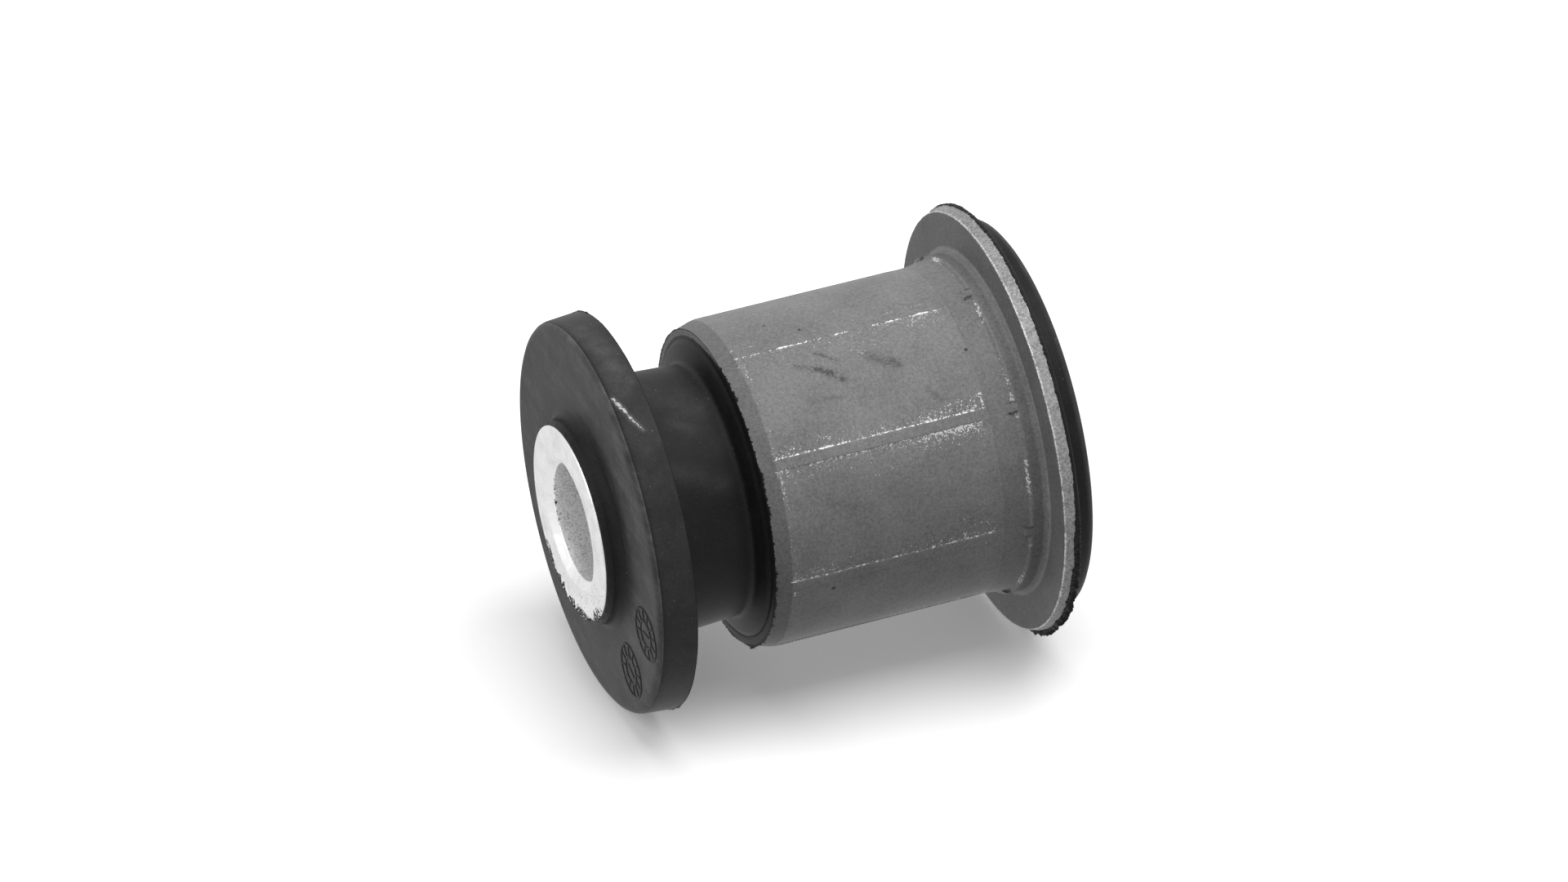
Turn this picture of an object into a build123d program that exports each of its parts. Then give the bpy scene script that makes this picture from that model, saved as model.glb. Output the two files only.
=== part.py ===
"""Rubber-metal suspension bush: a flanged steel outer sleeve, a turned inner
sleeve and one rubber moulding bonded between them.

Frame: millimetres, +Z along the bush's axis. The origin is the centre of the
inner sleeve's lower end, on which the bush stands with its flange below and
its buffer disc above.
"""
from build123d import *
import os

# ---------------------------------------------------------------- dimensions
# Inner sleeve: the bolt passes through it, and both its ends are clamped
TUBE_LENGTH = 60.0
TUBE_RADIUS = 12.0
BORE_RADIUS = 7.25            # clearance for an M14 bolt
BORE_CHAMFER = 0.9
TUBE_EDGE_BREAK = 0.15

# Outer sleeve: pressed into a 40 mm eye until the flange meets the eye's face
SLEEVE_RADIUS = 20.0
SLEEVE_WALL = 1.65
MOUTH_HEIGHT = 41.25          # end face of the sleeve, under the buffer disc
LEAD_IN_LENGTH = 1.95         # taper that starts the sleeve into its eye
LEAD_IN_DROP = 0.6
LEAD_IN_BLEND = 2.0           # radius that softens the taper's upper edge
FLANGE_REAR = 5.5
FLANGE_THICKNESS = 1.5
FLANGE_RADIUS = 26.3          # at the rear face, where the shear broke through
RIM_DRAFT = 0.55              # how much smaller the rim is at its front face
RIM_ROLLOVER = 0.2
BEND_RADIUS = 3.0             # inside of the turned-out bend
ROOT_RADIUS = 0.7             # outside of the bend, coined by the tool

# Sizing marks: eight jaws press the tube down to size. Their rounded ends
# leave a flare and a step near the flange, and each gap between two jaws
# leaves a narrow strip that stands proud of the pressed wall
JAW_COUNT = 8
JAW_PHASE = 6.2               # angle of the first gap from +X
JAW_END = 9.1                 # height at which the jaws stopped
JAW_FLARE = 3.1
FLARE_RISE = 0.45
FLARE_BLEND = 14.0
END_STEP = 0.35
END_STEP_HEIGHT = 0.25
GAP_WIDTH = 1.25
GAP_HEIGHT = 0.09
GAP_RUN_OUT = 2.4
BRIDGE_HEIGHT = 1.1           # of the unpressed tube that crosses the step

# Rubber: one moulding, from the buffer disc down to the pad below the flange
DISC_UNDERSIDE = 53.0
DISC_FACE = 57.6
DISC_RADIUS = 24.3            # at the sharp lower edge, on the parting plane
DISC_DRAFT = 0.35
DISC_EDGE = 1.2
NECK_TOP_RADIUS = 16.05
NECK_FOOT_RADIUS = 15.4
NECK_FOOT = 42.4              # where the neck meets the shoulder in the mouth
NECK_FILLET = 1.2
COLLAR_TOP = 59.8             # film that the moulding draws up the inner sleeve
COLLAR_CREST = 59.1
COLLAR_FILM = 0.2
COLLAR_WALL = 0.5
COLLAR_FOOT_FILLET = 1.2
SHOULDER_RADIUS = 17.7        # rubber that bulges out of the mouth
SHOULDER_HEIGHT = 41.75
SHOULDER_FILLET = 0.7
PAD_FACE = 2.4
PAD_RADIUS = 24.2
PAD_EDGE = 1.0
PAD_FOOT_FILLET = 0.3
FILM_RADIUS = 26.0            # rubber that ran out over the flange's underside
FILM_THICKNESS = 0.4

# Worked out from the above
mouth_radius = SLEEVE_RADIUS - SLEEVE_WALL
taper_foot = MOUTH_HEIGHT - LEAD_IN_LENGTH
flange_front = FLANGE_REAR + FLANGE_THICKNESS
flared_radius = SLEEVE_RADIUS + FLARE_RISE
unpressed_radius = flared_radius + END_STEP
flare_top = JAW_END + JAW_FLARE
film_rear = FLANGE_REAR - FILM_THICKNESS
collar_radius = TUBE_RADIUS + COLLAR_WALL


def turned_section(corners):
    """Closed outline from (radius, height, corner radius) rows."""
    points = [(radius, height) for radius, height, _ in corners]
    FilletPolyline(*points, radius=[blend for *_, blend in corners], close=True)


# -------------------------------------------------------------- inner sleeve
with BuildPart() as inner_sleeve:
    with BuildSketch() as tube_ring:
        Circle(TUBE_RADIUS)
        Circle(BORE_RADIUS, mode=Mode.SUBTRACT)
    extrude(amount=TUBE_LENGTH)
    end_edges = inner_sleeve.edges().filter_by(GeomType.CIRCLE).sort_by(SortBy.RADIUS)
    chamfer(end_edges[:2], BORE_CHAMFER)
    chamfer(end_edges[-2:], TUBE_EDGE_BREAK)
inner_sleeve.part.label = "inner_sleeve"


# -------------------------------------------------------------- outer sleeve
with BuildPart() as outer_sleeve:
    with BuildSketch(Plane.XZ) as sleeve_section:
        with BuildLine():
            turned_section([
                (mouth_radius, FLANGE_REAR, BEND_RADIUS),
                (mouth_radius, MOUTH_HEIGHT, 0),
                (SLEEVE_RADIUS - LEAD_IN_DROP, MOUTH_HEIGHT, 0),
                (SLEEVE_RADIUS, taper_foot, LEAD_IN_BLEND),
                (SLEEVE_RADIUS, flare_top, FLARE_BLEND),
                (flared_radius, JAW_END + END_STEP_HEIGHT, 0),
                (unpressed_radius, JAW_END, 0),
                (unpressed_radius, flange_front, ROOT_RADIUS),
                (FLANGE_RADIUS - RIM_DRAFT, flange_front, RIM_ROLLOVER),
                (FLANGE_RADIUS, FLANGE_REAR, 0),
            ])
        make_face()
    revolve(axis=Axis.Z)

    # A proud strip in each gap, and the unpressed bridge across the end step
    with BuildSketch(Plane.XZ, mode=Mode.PRIVATE) as gap_section:
        with BuildLine():
            Polyline(
                (SLEEVE_RADIUS - GAP_HEIGHT, flare_top),
                (SLEEVE_RADIUS - GAP_HEIGHT, taper_foot),
                (SLEEVE_RADIUS + GAP_HEIGHT, taper_foot - GAP_WIDTH / 2),
                (SLEEVE_RADIUS + GAP_HEIGHT, flare_top + GAP_RUN_OUT),
                close=True,
            )
        make_face()
        with BuildLine():
            Polyline(
                (SLEEVE_RADIUS, JAW_END),
                (SLEEVE_RADIUS, JAW_END + BRIDGE_HEIGHT),
                (flared_radius, JAW_END + BRIDGE_HEIGHT),
                (unpressed_radius, JAW_END + BRIDGE_HEIGHT / 2),
                (unpressed_radius, JAW_END),
                close=True,
            )
        make_face()
    with PolarLocations(0, JAW_COUNT, start_angle=JAW_PHASE):
        add(extrude(gap_section.sketch, amount=GAP_WIDTH / 2, both=True, mode=Mode.PRIVATE))
outer_sleeve.part.label = "outer_sleeve"


# --------------------------------------------------------------- rubber body
with BuildPart() as rubber_body:
    with BuildSketch(Plane.XZ) as rubber_section:
        with BuildLine():
            turned_section([
                # up the inner sleeve, over its collar and out along the disc
                (TUBE_RADIUS, PAD_FACE, 0),
                (TUBE_RADIUS, COLLAR_TOP, 0),
                (TUBE_RADIUS + COLLAR_FILM, COLLAR_TOP, 0),
                (collar_radius, COLLAR_CREST, 0.3),
                (collar_radius + COLLAR_FILM, DISC_FACE, COLLAR_FOOT_FILLET),
                (DISC_RADIUS - DISC_DRAFT, DISC_FACE, DISC_EDGE),
                # under the disc, down the neck and over the shoulder
                (DISC_RADIUS, DISC_UNDERSIDE, 0),
                (NECK_TOP_RADIUS, DISC_UNDERSIDE, NECK_FILLET),
                (NECK_FOOT_RADIUS, NECK_FOOT, SHOULDER_FILLET),
                (SHOULDER_RADIUS, SHOULDER_HEIGHT, SHOULDER_FILLET),
                # along the outer sleeve's wall and round its bend
                (mouth_radius, MOUTH_HEIGHT, 0),
                (mouth_radius, FLANGE_REAR, BEND_RADIUS),
                # the film below the flange and the pad
                (FILM_RADIUS, FLANGE_REAR, 0),
                (FILM_RADIUS, film_rear, 0),
                (PAD_RADIUS, film_rear, PAD_FOOT_FILLET),
                (PAD_RADIUS, PAD_FACE, PAD_EDGE),
            ])
        make_face()
    revolve(axis=Axis.Z)
rubber_body.part.label = "rubber_body"


os.makedirs("parts", exist_ok=True)
for piece in (inner_sleeve, outer_sleeve, rubber_body):
    export_step(piece.part, f"parts/{piece.part.label}.step")
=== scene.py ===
"""Rubber-metal suspension bush: the looks of its pressed outer sleeve, its turned
inner sleeve and the rubber moulding bonded between them.

Sizes are millimetres in the frame of the solids, with +Z along the bush's axis,
and become metres where a mesh is made. Angles are degrees about +Z from +X.
Patterns are given in cycles to the millimetre.
"""
from __future__ import annotations

import logging
from dataclasses import dataclass
from enum import Enum
from typing import Mapping, Optional, Sequence, Union

import bpy
import numpy as np
from mathutils import Matrix, Vector

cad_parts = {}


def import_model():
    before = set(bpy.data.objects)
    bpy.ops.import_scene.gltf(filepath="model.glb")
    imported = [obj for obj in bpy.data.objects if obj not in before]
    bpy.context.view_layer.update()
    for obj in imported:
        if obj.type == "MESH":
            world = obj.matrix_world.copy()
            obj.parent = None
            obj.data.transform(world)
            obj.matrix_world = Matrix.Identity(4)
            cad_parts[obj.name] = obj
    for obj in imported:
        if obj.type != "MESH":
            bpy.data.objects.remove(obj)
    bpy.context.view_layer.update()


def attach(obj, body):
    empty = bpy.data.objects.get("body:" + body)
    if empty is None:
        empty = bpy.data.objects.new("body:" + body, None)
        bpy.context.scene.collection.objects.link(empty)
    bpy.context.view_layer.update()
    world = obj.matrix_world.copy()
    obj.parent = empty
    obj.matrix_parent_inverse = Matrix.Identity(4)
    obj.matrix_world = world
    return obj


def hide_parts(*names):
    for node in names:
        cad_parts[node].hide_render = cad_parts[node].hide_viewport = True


log = logging.getLogger("bush")

MM = 0.001
RELIEF = 0.02  # height of a bump's full scale

# Knots and sizes of a torn edge's long waves, short waves, teeth and fuzz, and the
# middle and the most of their sum
TORN_KNOTS = (41, 173, 397, 701)
TORN_SIZES = (0.25, 0.15, 0.6, 0.25)
TORN_MIDDLE = 0.35
TORN_LIMIT = 1.3

Socket = bpy.types.NodeSocket
Value = Union[float, Socket]
Number = Union[float, np.ndarray]
Pair = tuple[float, float]
Triple = tuple[float, float, float]
Faces = tuple[np.ndarray, np.ndarray]  # points, and quads of their indices
Line = tuple[Number, Number]  # radius and height
Section = tuple[tuple[tuple[float, ...], tuple[float, ...]], ...]


class Slot(Enum):
    """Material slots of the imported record."""

    MACHINED = "machined_steel"
    COATED = "coated_steel"
    RUBBER = "moulded_rubber"


class Field(Enum):
    """Values painted on the points of a piece, which its material reads."""

    # burnish also carries the painted highlight at the flange's root
    BURNISH_AND_HIGHLIGHT = "burnish_and_highlight"
    # soil also carries the painted shadow beside the bridges
    SOIL_AND_SHADOW = "soil"
    DUST = "dust"
    # bloom, thinned beside the collar, also carries painted shade
    BLOOM_AND_SHADE = "bloom"


# ------------------------------------------------------------------- surfaces
@dataclass(frozen=True)
class Corner:
    """One corner of a turned outline, the radius that rounds it, and the longest
    step along the run that leaves it."""

    radius: float
    height: float
    blend: float = 0.02
    spacing: float = 0.5


def rounded_outline(corners: Sequence[Corner], steps: int = 4) -> np.ndarray:
    """Closed outline through corners, each rounded by its own arc.

    At a corner that turns by angle t, an arc of radius b starts b*tan(t/2) before
    the corner and ends as far after it. The arc is a blend of its two tangent
    points and the corner with the weights of a rational quadratic, whose middle
    weight is cos(t/2), so it is a true circle. Long runs are then divided evenly.

    Args:
        corners: the outline's corners, in order.
        steps: number of steps along each arc.

    Returns:
        Array of (radius, height) rows; the last row joins the first.
    """
    points = np.array([(c.radius, c.height) for c in corners])
    into = points - np.roll(points, 1, axis=0)
    out = np.roll(points, -1, axis=0) - points
    into /= np.linalg.norm(into, axis=1, keepdims=True)
    out /= np.linalg.norm(out, axis=1, keepdims=True)
    turn = np.arccos(np.clip((into * out).sum(axis=1), -1.0, 1.0))
    reach = (np.array([c.blend for c in corners]) * np.tan(turn / 2))[:, None]
    ends = points - into * reach, points, points + out * reach
    t = np.linspace(0.0, 1.0, steps + 1)[None, :, None]
    weights = (1 - t) ** 2, 2 * t * (1 - t) * np.cos(turn / 2)[:, None, None], t**2
    arcs = sum(weight * end[:, None] for weight, end in zip(weights, ends))
    path = (arcs / sum(weights)).reshape(-1, 2)
    closed = np.vstack([path, path[:1]])
    length = np.linalg.norm(np.diff(closed, axis=0), axis=1)
    spacing = np.repeat([c.spacing for c in corners], steps + 1)
    parts = np.maximum(np.ceil(length / spacing).astype(int), 1)
    parts[length < 1e-6] = 0
    index = np.repeat(np.arange(len(parts)), parts)
    first = np.repeat(np.cumsum(parts) - parts, parts)
    share = (np.arange(parts.sum()) - first) / parts[index]
    return closed[index] + share[:, None] * (closed[index + 1] - closed[index])


def ring_noise(angles: np.ndarray, knots: int, seed: int) -> np.ndarray:
    """Noise that closes on itself round the axis.

    Random heights between -1 and 1 stand at evenly spaced knots round the circle,
    and neighbours are joined by half a cosine wave.

    Args:
        angles: angles in degrees.
        knots: number of knots round the circle.
        seed: seed of the random heights.

    Returns:
        One value between -1 and 1 for each angle.
    """
    heights = np.random.default_rng(seed).uniform(-1.0, 1.0, knots)
    place = np.mod(angles, 360.0) / 360.0 * knots
    low = np.floor(place).astype(int) % knots
    ease = (1 - np.cos(np.pi * (place - np.floor(place)))) / 2
    return heights[low] * (1 - ease) + heights[(low + 1) % knots] * ease


def torn(angles: np.ndarray, seed: int) -> np.ndarray:
    """Ragged edge: a sum of three ring noises and single teeth.

    The teeth are the fourth power of a fine ring noise, so most of them are low
    and a few stand out.

    Args:
        angles: angles in degrees.
        seed: first of four seeds, one for each ring noise.

    Returns:
        One value between 0 and the limit for each angle.
    """
    noises = [ring_noise(angles, knots, seed + i) for i, knots in enumerate(TORN_KNOTS)]
    noises[2] = noises[2] ** 4
    layers = sum(size * noise for size, noise in zip(TORN_SIZES, noises))
    return np.clip(TORN_MIDDLE + layers, 0.0, TORN_LIMIT)


def varied(amounts: Pair, share: Number) -> Number:
    """The first amount, and so much of the second as a share says."""
    return amounts[0] + amounts[1] * share


def smooth_step(values: np.ndarray, low: Number, high: Number) -> np.ndarray:
    """Zero at low and one at high, joined by the cubic 3x^2 - 2x^3."""
    x = np.clip((values - low) / (high - low), 0.0, 1.0)
    return x * x * (3 - 2 * x)


def bell(values: np.ndarray, centre: float, width: float) -> np.ndarray:
    """Bell curve exp(-((value - centre) / width)^2)."""
    return np.exp(-(((values - centre) / width) ** 2))


def angle_from(angles: Number, centre: Number) -> Number:
    """Signed distance in degrees from centre, between -180 and 180."""
    return np.mod(angles - centre + 180.0, 360.0) - 180.0


@dataclass(frozen=True)
class Arc:
    """An arc round the axis: its two ends, how many degrees each end takes to fade,
    and its strength."""

    start: float
    end: float
    soft: float
    strength: float = 1.0

    def window(self, angles: np.ndarray) -> np.ndarray:
        """Its strength along the arc, falling to zero by a smooth step at both ends.

        Args:
            angles: angles in degrees.

        Returns:
            One value for each angle; half of each fall lies outside the arc.
        """
        half, fade = np.mod(self.end - self.start, 360.0) / 2, self.soft / 2
        away = np.abs(angle_from(angles, self.start + half))
        return self.strength * (1.0 - smooth_step(away, half - fade, half + fade))


def even_angles(columns: int) -> np.ndarray:
    """Evenly spaced angles round the circle, in degrees."""
    return np.arange(columns) * 360.0 / columns


@dataclass(frozen=True)
class Rub:
    """A mark drawn along a line on a turned wall or on a flat face.

    On a wall the ends are (azimuth, height), on a face they are (x, y).
    """

    start: Pair
    end: Pair
    width: float
    strength: float

    def on_wall(self, angles: np.ndarray, height: np.ndarray, radius: float) -> np.ndarray:
        """The mark on a wall, whose azimuths become lengths of arc at a radius.

        Args:
            angles: angle of each point, in degrees.
            height: height of each point.
            radius: radius at which the wall is unrolled.

        Returns:
            The mark's strength at each point.
        """
        du, u = (np.radians(angle_from(a, self.start[0])) * radius for a in (self.end[0], angles))
        return self._along(u, height - self.start[1], float(du), self.end[1] - self.start[1])

    def on_face(self, x: np.ndarray, y: np.ndarray) -> np.ndarray:
        """The mark on a face across the axis."""
        du, dv = self.end[0] - self.start[0], self.end[1] - self.start[1]
        return self._along(x - self.start[0], y - self.start[1], du, dv)

    def _along(self, u: np.ndarray, v: np.ndarray, du: float, dv: float) -> np.ndarray:
        """Bell curve of the distance from a line that leaves the origin.

        Args:
            u: first coordinate of each point, from the line's start.
            v: second coordinate of each point.
            du: the line's reach along the first axis.
            dv: the line's reach along the second axis.

        Returns:
            strength * exp(-(distance / width)^2) for each point.
        """
        share = np.clip((u * du + v * dv) / max(du * du + dv * dv, 1e-9), 0.0, 1.0)
        away = (u - share * du) ** 2 + (v - share * dv) ** 2
        return self.strength * np.exp(-away / self.width**2)


@dataclass
class Lathe:
    """Grid of a turned piece: a radius and a height for each row of its outline and
    each column round it, and the angle of each column."""

    radius: np.ndarray
    height: np.ndarray
    angles: np.ndarray

    @classmethod
    def around(cls, outline: np.ndarray, angles: np.ndarray) -> Lathe:
        """Carries an outline of (radius, height) rows round the axis."""
        radius, height = (np.repeat(side[:, None], len(angles), axis=1) for side in outline.T)
        return cls(radius, height, angles)

    def surface(self) -> np.ndarray:
        """Points (radius*cos a, radius*sin a, height), as rows x columns x 3."""
        a = np.radians(self.angles)[None, :]
        sides = [self.radius * np.cos(a), self.radius * np.sin(a), self.height + 0 * a]
        return np.stack(sides, axis=-1)

    def marks(self, rubs: Sequence[Rub], radius: float) -> np.ndarray:
        """Sum of rubs on the wall that is unrolled at a radius."""
        return sum(rub.on_wall(self.angles[None, :], self.height, radius) for rub in rubs)


def closed_quads(rows: int, columns: int) -> np.ndarray:
    """Quads of a grid whose rows and columns both close.

    Face (i, j) joins points (i, j), (i, j+1), (i+1, j+1) and (i+1, j), and the last
    row and column join the first.

    Args:
        rows: number of rows.
        columns: number of columns.

    Returns:
        Array of rows x columns x 4 point indices.
    """
    index = np.arange(rows * columns).reshape(rows, columns)
    below = np.roll(index, -1, axis=0)
    return np.stack([index, np.roll(index, -1, 1), np.roll(below, -1, 1), below], axis=-1)


def grid_mesh(name: str, surface: np.ndarray) -> bpy.types.Object:
    """Makes a closed mesh of quads from a grid whose rows and columns both close.

    The faces are turned round where they would look inwards, which is where the
    volume under them comes out negative.

    Args:
        name: name of the object and its mesh.
        surface: array of rows x columns x 3, in millimetres.

    Returns:
        The new object, smooth shaded, at the origin.
    """
    across, down = np.roll(surface, -1, axis=1), np.roll(surface, -1, axis=0)
    corner = np.roll(across, -1, axis=0)
    volume = (surface * (np.cross(across, corner) + np.cross(corner, down))).sum()
    quads = closed_quads(*surface.shape[:2])
    quads = quads if volume > 0 else quads[..., ::-1]
    return face_mesh(name, surface.reshape(-1, 3), quads.reshape(-1, 4))


def face_mesh(name: str, points: np.ndarray, quads: np.ndarray) -> bpy.types.Object:
    """Makes a mesh of points and quads.

    Args:
        name: name of the object and its mesh.
        points: points x 3, in millimetres.
        quads: faces x 4 point indices.

    Returns:
        The new object, smooth shaded, at the origin.
    """
    mesh = bpy.data.meshes.new(name)
    mesh.vertices.add(len(points))
    mesh.vertices.foreach_set("co", (points * MM).astype(np.float32).ravel())
    mesh.loops.add(quads.size)
    mesh.loops.foreach_set("vertex_index", quads.astype(np.int32).ravel())
    mesh.polygons.add(len(quads))
    mesh.polygons.foreach_set("loop_start", np.arange(0, quads.size, 4, dtype=np.int32))
    mesh.polygons.foreach_set("use_smooth", np.ones(len(quads), dtype=bool))
    mesh.update(calc_edges=True)
    piece = bpy.data.objects.new(name, mesh)
    bpy.context.scene.collection.objects.link(piece)
    return piece


def paint(piece: bpy.types.Object, kind: Field, values: np.ndarray) -> None:
    """Stores one value for each point of a piece."""
    layer = piece.data.attributes.new(kind.value, "FLOAT", "POINT")
    layer.data.foreach_set("value", np.clip(values, -1.0, 1.5).astype(np.float32).ravel())


# ---------------------------------------------------------------- node graphs
class Graph:
    """Adds nodes to one node tree and links them."""

    def __init__(self, tree: bpy.types.NodeTree) -> None:
        """Starts on an empty tree."""
        self.tree = tree
        tree.nodes.clear()

    def feed(self, socket: Socket, value: object) -> None:
        """Links a socket to an input, or writes a plain value to it.

        Args:
            socket: the input.
            value: the socket or the plain value that it gets.
        """
        if isinstance(value, bpy.types.NodeSocket):
            self.tree.links.new(value, socket)
        else:
            socket.default_value = value

    def node(
        self,
        kind: str,
        feeds: Optional[Mapping[Union[str, int], object]] = None,
        **settings: object,
    ) -> bpy.types.NodeOutputs:
        """Adds a node.

        Args:
            kind: the node's type.
            feeds: what its inputs get, by their name or number.
            settings: the node's own properties, which are set first.

        Returns:
            The node's outputs.
        """
        made = self.tree.nodes.new(kind)
        for key, value in settings.items():
            setattr(made, key, value)
        for key, value in (feeds or {}).items():
            self.feed(made.inputs[key], value)
        return made.outputs

    def math(self, operation: str, *values: Value) -> Socket:
        """Result of a Math node."""
        return self.node("ShaderNodeMath", dict(enumerate(values)), operation=operation)[0]

    def vector(self, operation: str, *values: object) -> bpy.types.NodeOutputs:
        """Outputs of a Vector Math node."""
        return self.node("ShaderNodeVectorMath", dict(enumerate(values)), operation=operation)

    def _fold(self, operation: str, values: Sequence[Value]) -> Socket:
        """Joins values one after another by a Math operation.

        Args:
            operation: the operation that joins two values.
            values: the values, in order.

        Returns:
            The last result.
        """
        result = values[0]
        for value in values[1:]:
            result = self.math(operation, result, value)
        return result

    def total(self, *values: Value) -> Socket:
        """Adds values up."""
        return self._fold("ADD", values)

    def product(self, *values: Value) -> Socket:
        """Multiplies values."""
        return self._fold("MULTIPLY", values)

    def highest(self, *values: Value) -> Socket:
        """Largest of the values."""
        return self._fold("MAXIMUM", values)

    def less(self, a: Value, b: Value) -> Socket:
        """The first value less the second."""
        return self.math("SUBTRACT", a, b)

    def rise(
        self, value: Value, low: Value, high: Value, start: float = 0.0, end: float = 1.0
    ) -> Socket:
        """Smooth step from start to end as value goes from low to high."""
        feeds = {"Value": value, "From Min": low, "From Max": high, "To Min": start, "To Max": end}
        return self.node("ShaderNodeMapRange", feeds, interpolation_type="SMOOTHSTEP")["Result"]

    def blend(self, factor: Value, a: Value, b: Value) -> Socket:
        """Value between a and b by factor."""
        return self.node("ShaderNodeMix", {0: factor, 2: a, 3: b}, data_type="FLOAT")[0]

    def noise(
        self, vector: Socket, scale: Value, detail: float, roughness: float, seed: Value
    ) -> Socket:
        """Noise between 0 and 1 at a point.

        Args:
            vector: the point.
            scale: cycles to the point's unit.
            detail: octaves of finer noise.
            roughness: how strong each octave is beside the one before it.
            seed: which pattern it is.

        Returns:
            The noise.
        """
        feeds = {
            "Vector": vector, "W": seed, "Scale": scale, "Detail": detail, "Roughness": roughness
        }
        return self.node("ShaderNodeTexNoise", feeds, noise_dimensions="4D")[0]

    def along(self, vector: Socket, angle: float, length: float, width: float) -> Socket:
        """Vector in lengths along an angle about +Z, and in widths across it."""
        turn, size = (0.0, 0.0, float(np.radians(angle))), (length, width, width)
        feeds = {"Vector": vector, "Rotation": turn, "Scale": size}
        return self.node("ShaderNodeMapping", feeds, vector_type="TEXTURE")[0]

    def painted(self, kind: Field) -> Socket:
        """Value painted on the piece, or zero where there is none."""
        return self.node("ShaderNodeAttribute", attribute_name=kind.value)["Fac"]


class GroupBuilder(Graph):
    """A shader node group with named inputs and outputs."""

    def __init__(self, name: str, inputs: Mapping[str, Union[float, tuple]]) -> None:
        """Makes the group's tree and its inputs.

        Args:
            name: name of the group.
            inputs: default of each input; a tuple makes a vector input.
        """
        super().__init__(bpy.data.node_groups.new(name, "ShaderNodeTree"))
        for key, default in inputs.items():
            self._socket(key, "INPUT", isinstance(default, tuple)).default_value = default
        self.entry = self.node("NodeGroupInput")

    def _socket(
        self, name: str, side: str, is_vector: bool
    ) -> bpy.types.NodeTreeInterfaceSocket:
        """Adds a value or a vector to the group's inputs or outputs."""
        kind = "NodeSocketVector" if is_vector else "NodeSocketFloat"
        return self.tree.interface.new_socket(name=name, in_out=side, socket_type=kind)

    def close(self, results: Mapping[str, Socket]) -> bpy.types.NodeTree:
        """Adds the group's outputs.

        Args:
            results: what each output gives; the one named Vector is a vector.

        Returns:
            The finished tree.
        """
        for key in results:
            self._socket(key, "OUTPUT", key == "Vector")
        self.node("NodeGroupOutput", results)
        return self.tree


class Effects:
    """Shader node groups that several finishes share."""

    ORIGIN = (0.0, 0.0, 0.0)
    # Height of the noise that a spot needs where none are wanted, and how far that
    # falls as their coverage grows to one
    BARE_LIMIT = 0.72
    LIMIT_FALL = 0.42
    # Radius at which a dot has faded, beside the radius where it starts to
    DOT_FADE = 1.6

    def __init__(self) -> None:
        """Builds every group once."""
        self.place, self.speckle, self.grain = self._place(), self._speckle(), self._grain()
        self.band, self.dot = self._band(), self._dot()

    @staticmethod
    def _place() -> bpy.types.NodeTree:
        """Where a point is on the bush, in millimetres.

        Returns:
            Group with its height, its radius and its vector.
        """
        g = GroupBuilder("place_on_bush", {})
        point = g.vector("MULTIPLY", g.node("ShaderNodeTexCoord")["Object"], (1 / MM,) * 3)[0]
        height = g.node("ShaderNodeSeparateXYZ", {0: point})["Z"]
        radius = g.vector("LENGTH", g.vector("MULTIPLY", point, (1.0, 1.0, 0.0))[0])["Value"]
        return g.close({"Height": height, "Radius": radius, "Vector": point})

    def _speckle(self) -> bpy.types.NodeTree:
        """Small sharp spots: noise above a limit that falls as coverage grows.

        Returns:
            Group with the spots' mask.
        """
        inputs = {"Vector": self.ORIGIN, "Scale": 5.0, "Coverage": 0.2, "Seed": 0.0, "Sharp": 0.07}
        g = GroupBuilder("speckle", inputs)
        fine = g.noise(g.entry["Vector"], g.entry["Scale"], 2.0, 0.7, g.entry["Seed"])
        limit = g.less(self.BARE_LIMIT, g.product(g.entry["Coverage"], self.LIMIT_FALL))
        return g.close({"Mask": g.rise(fine, limit, g.total(limit, g.entry["Sharp"]))})

    def _grain(self) -> bpy.types.NodeTree:
        """Fine and coarse mottling, both between -1 and 1 about zero.

        Returns:
            Group with both mottlings.
        """
        inputs = {"Vector": self.ORIGIN, "Fine scale": 6.0, "Coarse scale": 0.25, "Seed": 0.0}
        g = GroupBuilder("grain", inputs)
        results = {}
        for name, detail, roughness in (("Fine", 3.0, 0.65), ("Coarse", 4.0, 0.55)):
            scale = g.entry[f"{name} scale"]
            raw = g.noise(g.entry["Vector"], scale, detail, roughness, g.entry["Seed"])
            results[name] = g.product(g.less(raw, 0.5), 2.0)
        return g.close(results)

    @staticmethod
    def _band() -> bpy.types.NodeTree:
        """One where a value is within half a width of a centre, with soft ends.

        Returns:
            Group with the band's mask.
        """
        g = GroupBuilder("band", {"Value": 0.0, "Centre": 0.0, "Half": 1.0, "Soft": 0.1})
        away = g.math("ABSOLUTE", g.less(g.entry["Value"], g.entry["Centre"]))
        half = g.entry["Half"]
        return g.close({"Mask": g.rise(away, half, g.total(half, g.entry["Soft"]), 1.0, 0.0)})

    def _dot(self) -> bpy.types.NodeTree:
        """A small round mark about a point.

        Returns:
            Group with the mark's mask.
        """
        g = GroupBuilder("dot", {"Vector": self.ORIGIN, "Centre": self.ORIGIN, "Radius": 0.2})
        away = g.vector("DISTANCE", g.entry["Vector"], g.entry["Centre"])["Value"]
        faded = g.product(g.entry["Radius"], self.DOT_FADE)
        return g.close({"Mask": g.rise(away, g.entry["Radius"], faded, 1.0, 0.0)})


# ------------------------------------------------------------------- finishes
@dataclass(frozen=True)
class Spots:
    """Small sharp spots: their scale, seed, softness and coverage."""

    scale: float
    seed: float
    sharp: float
    coverage: float = 0.0


@dataclass(frozen=True)
class Cloud:
    """Soft patches: a noise, whose rise from low to high becomes a smooth step from
    start to end."""

    scale: float
    detail: float
    roughness: float
    seed: float
    low: float
    high: float
    start: float = 0.0
    end: float = 1.0


@dataclass(frozen=True)
class ShadedRing:
    """A band of heights darkened as painted shade: middle, half width, soft end and gain."""

    height: float
    half: float
    soft: float
    gain: float


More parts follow.
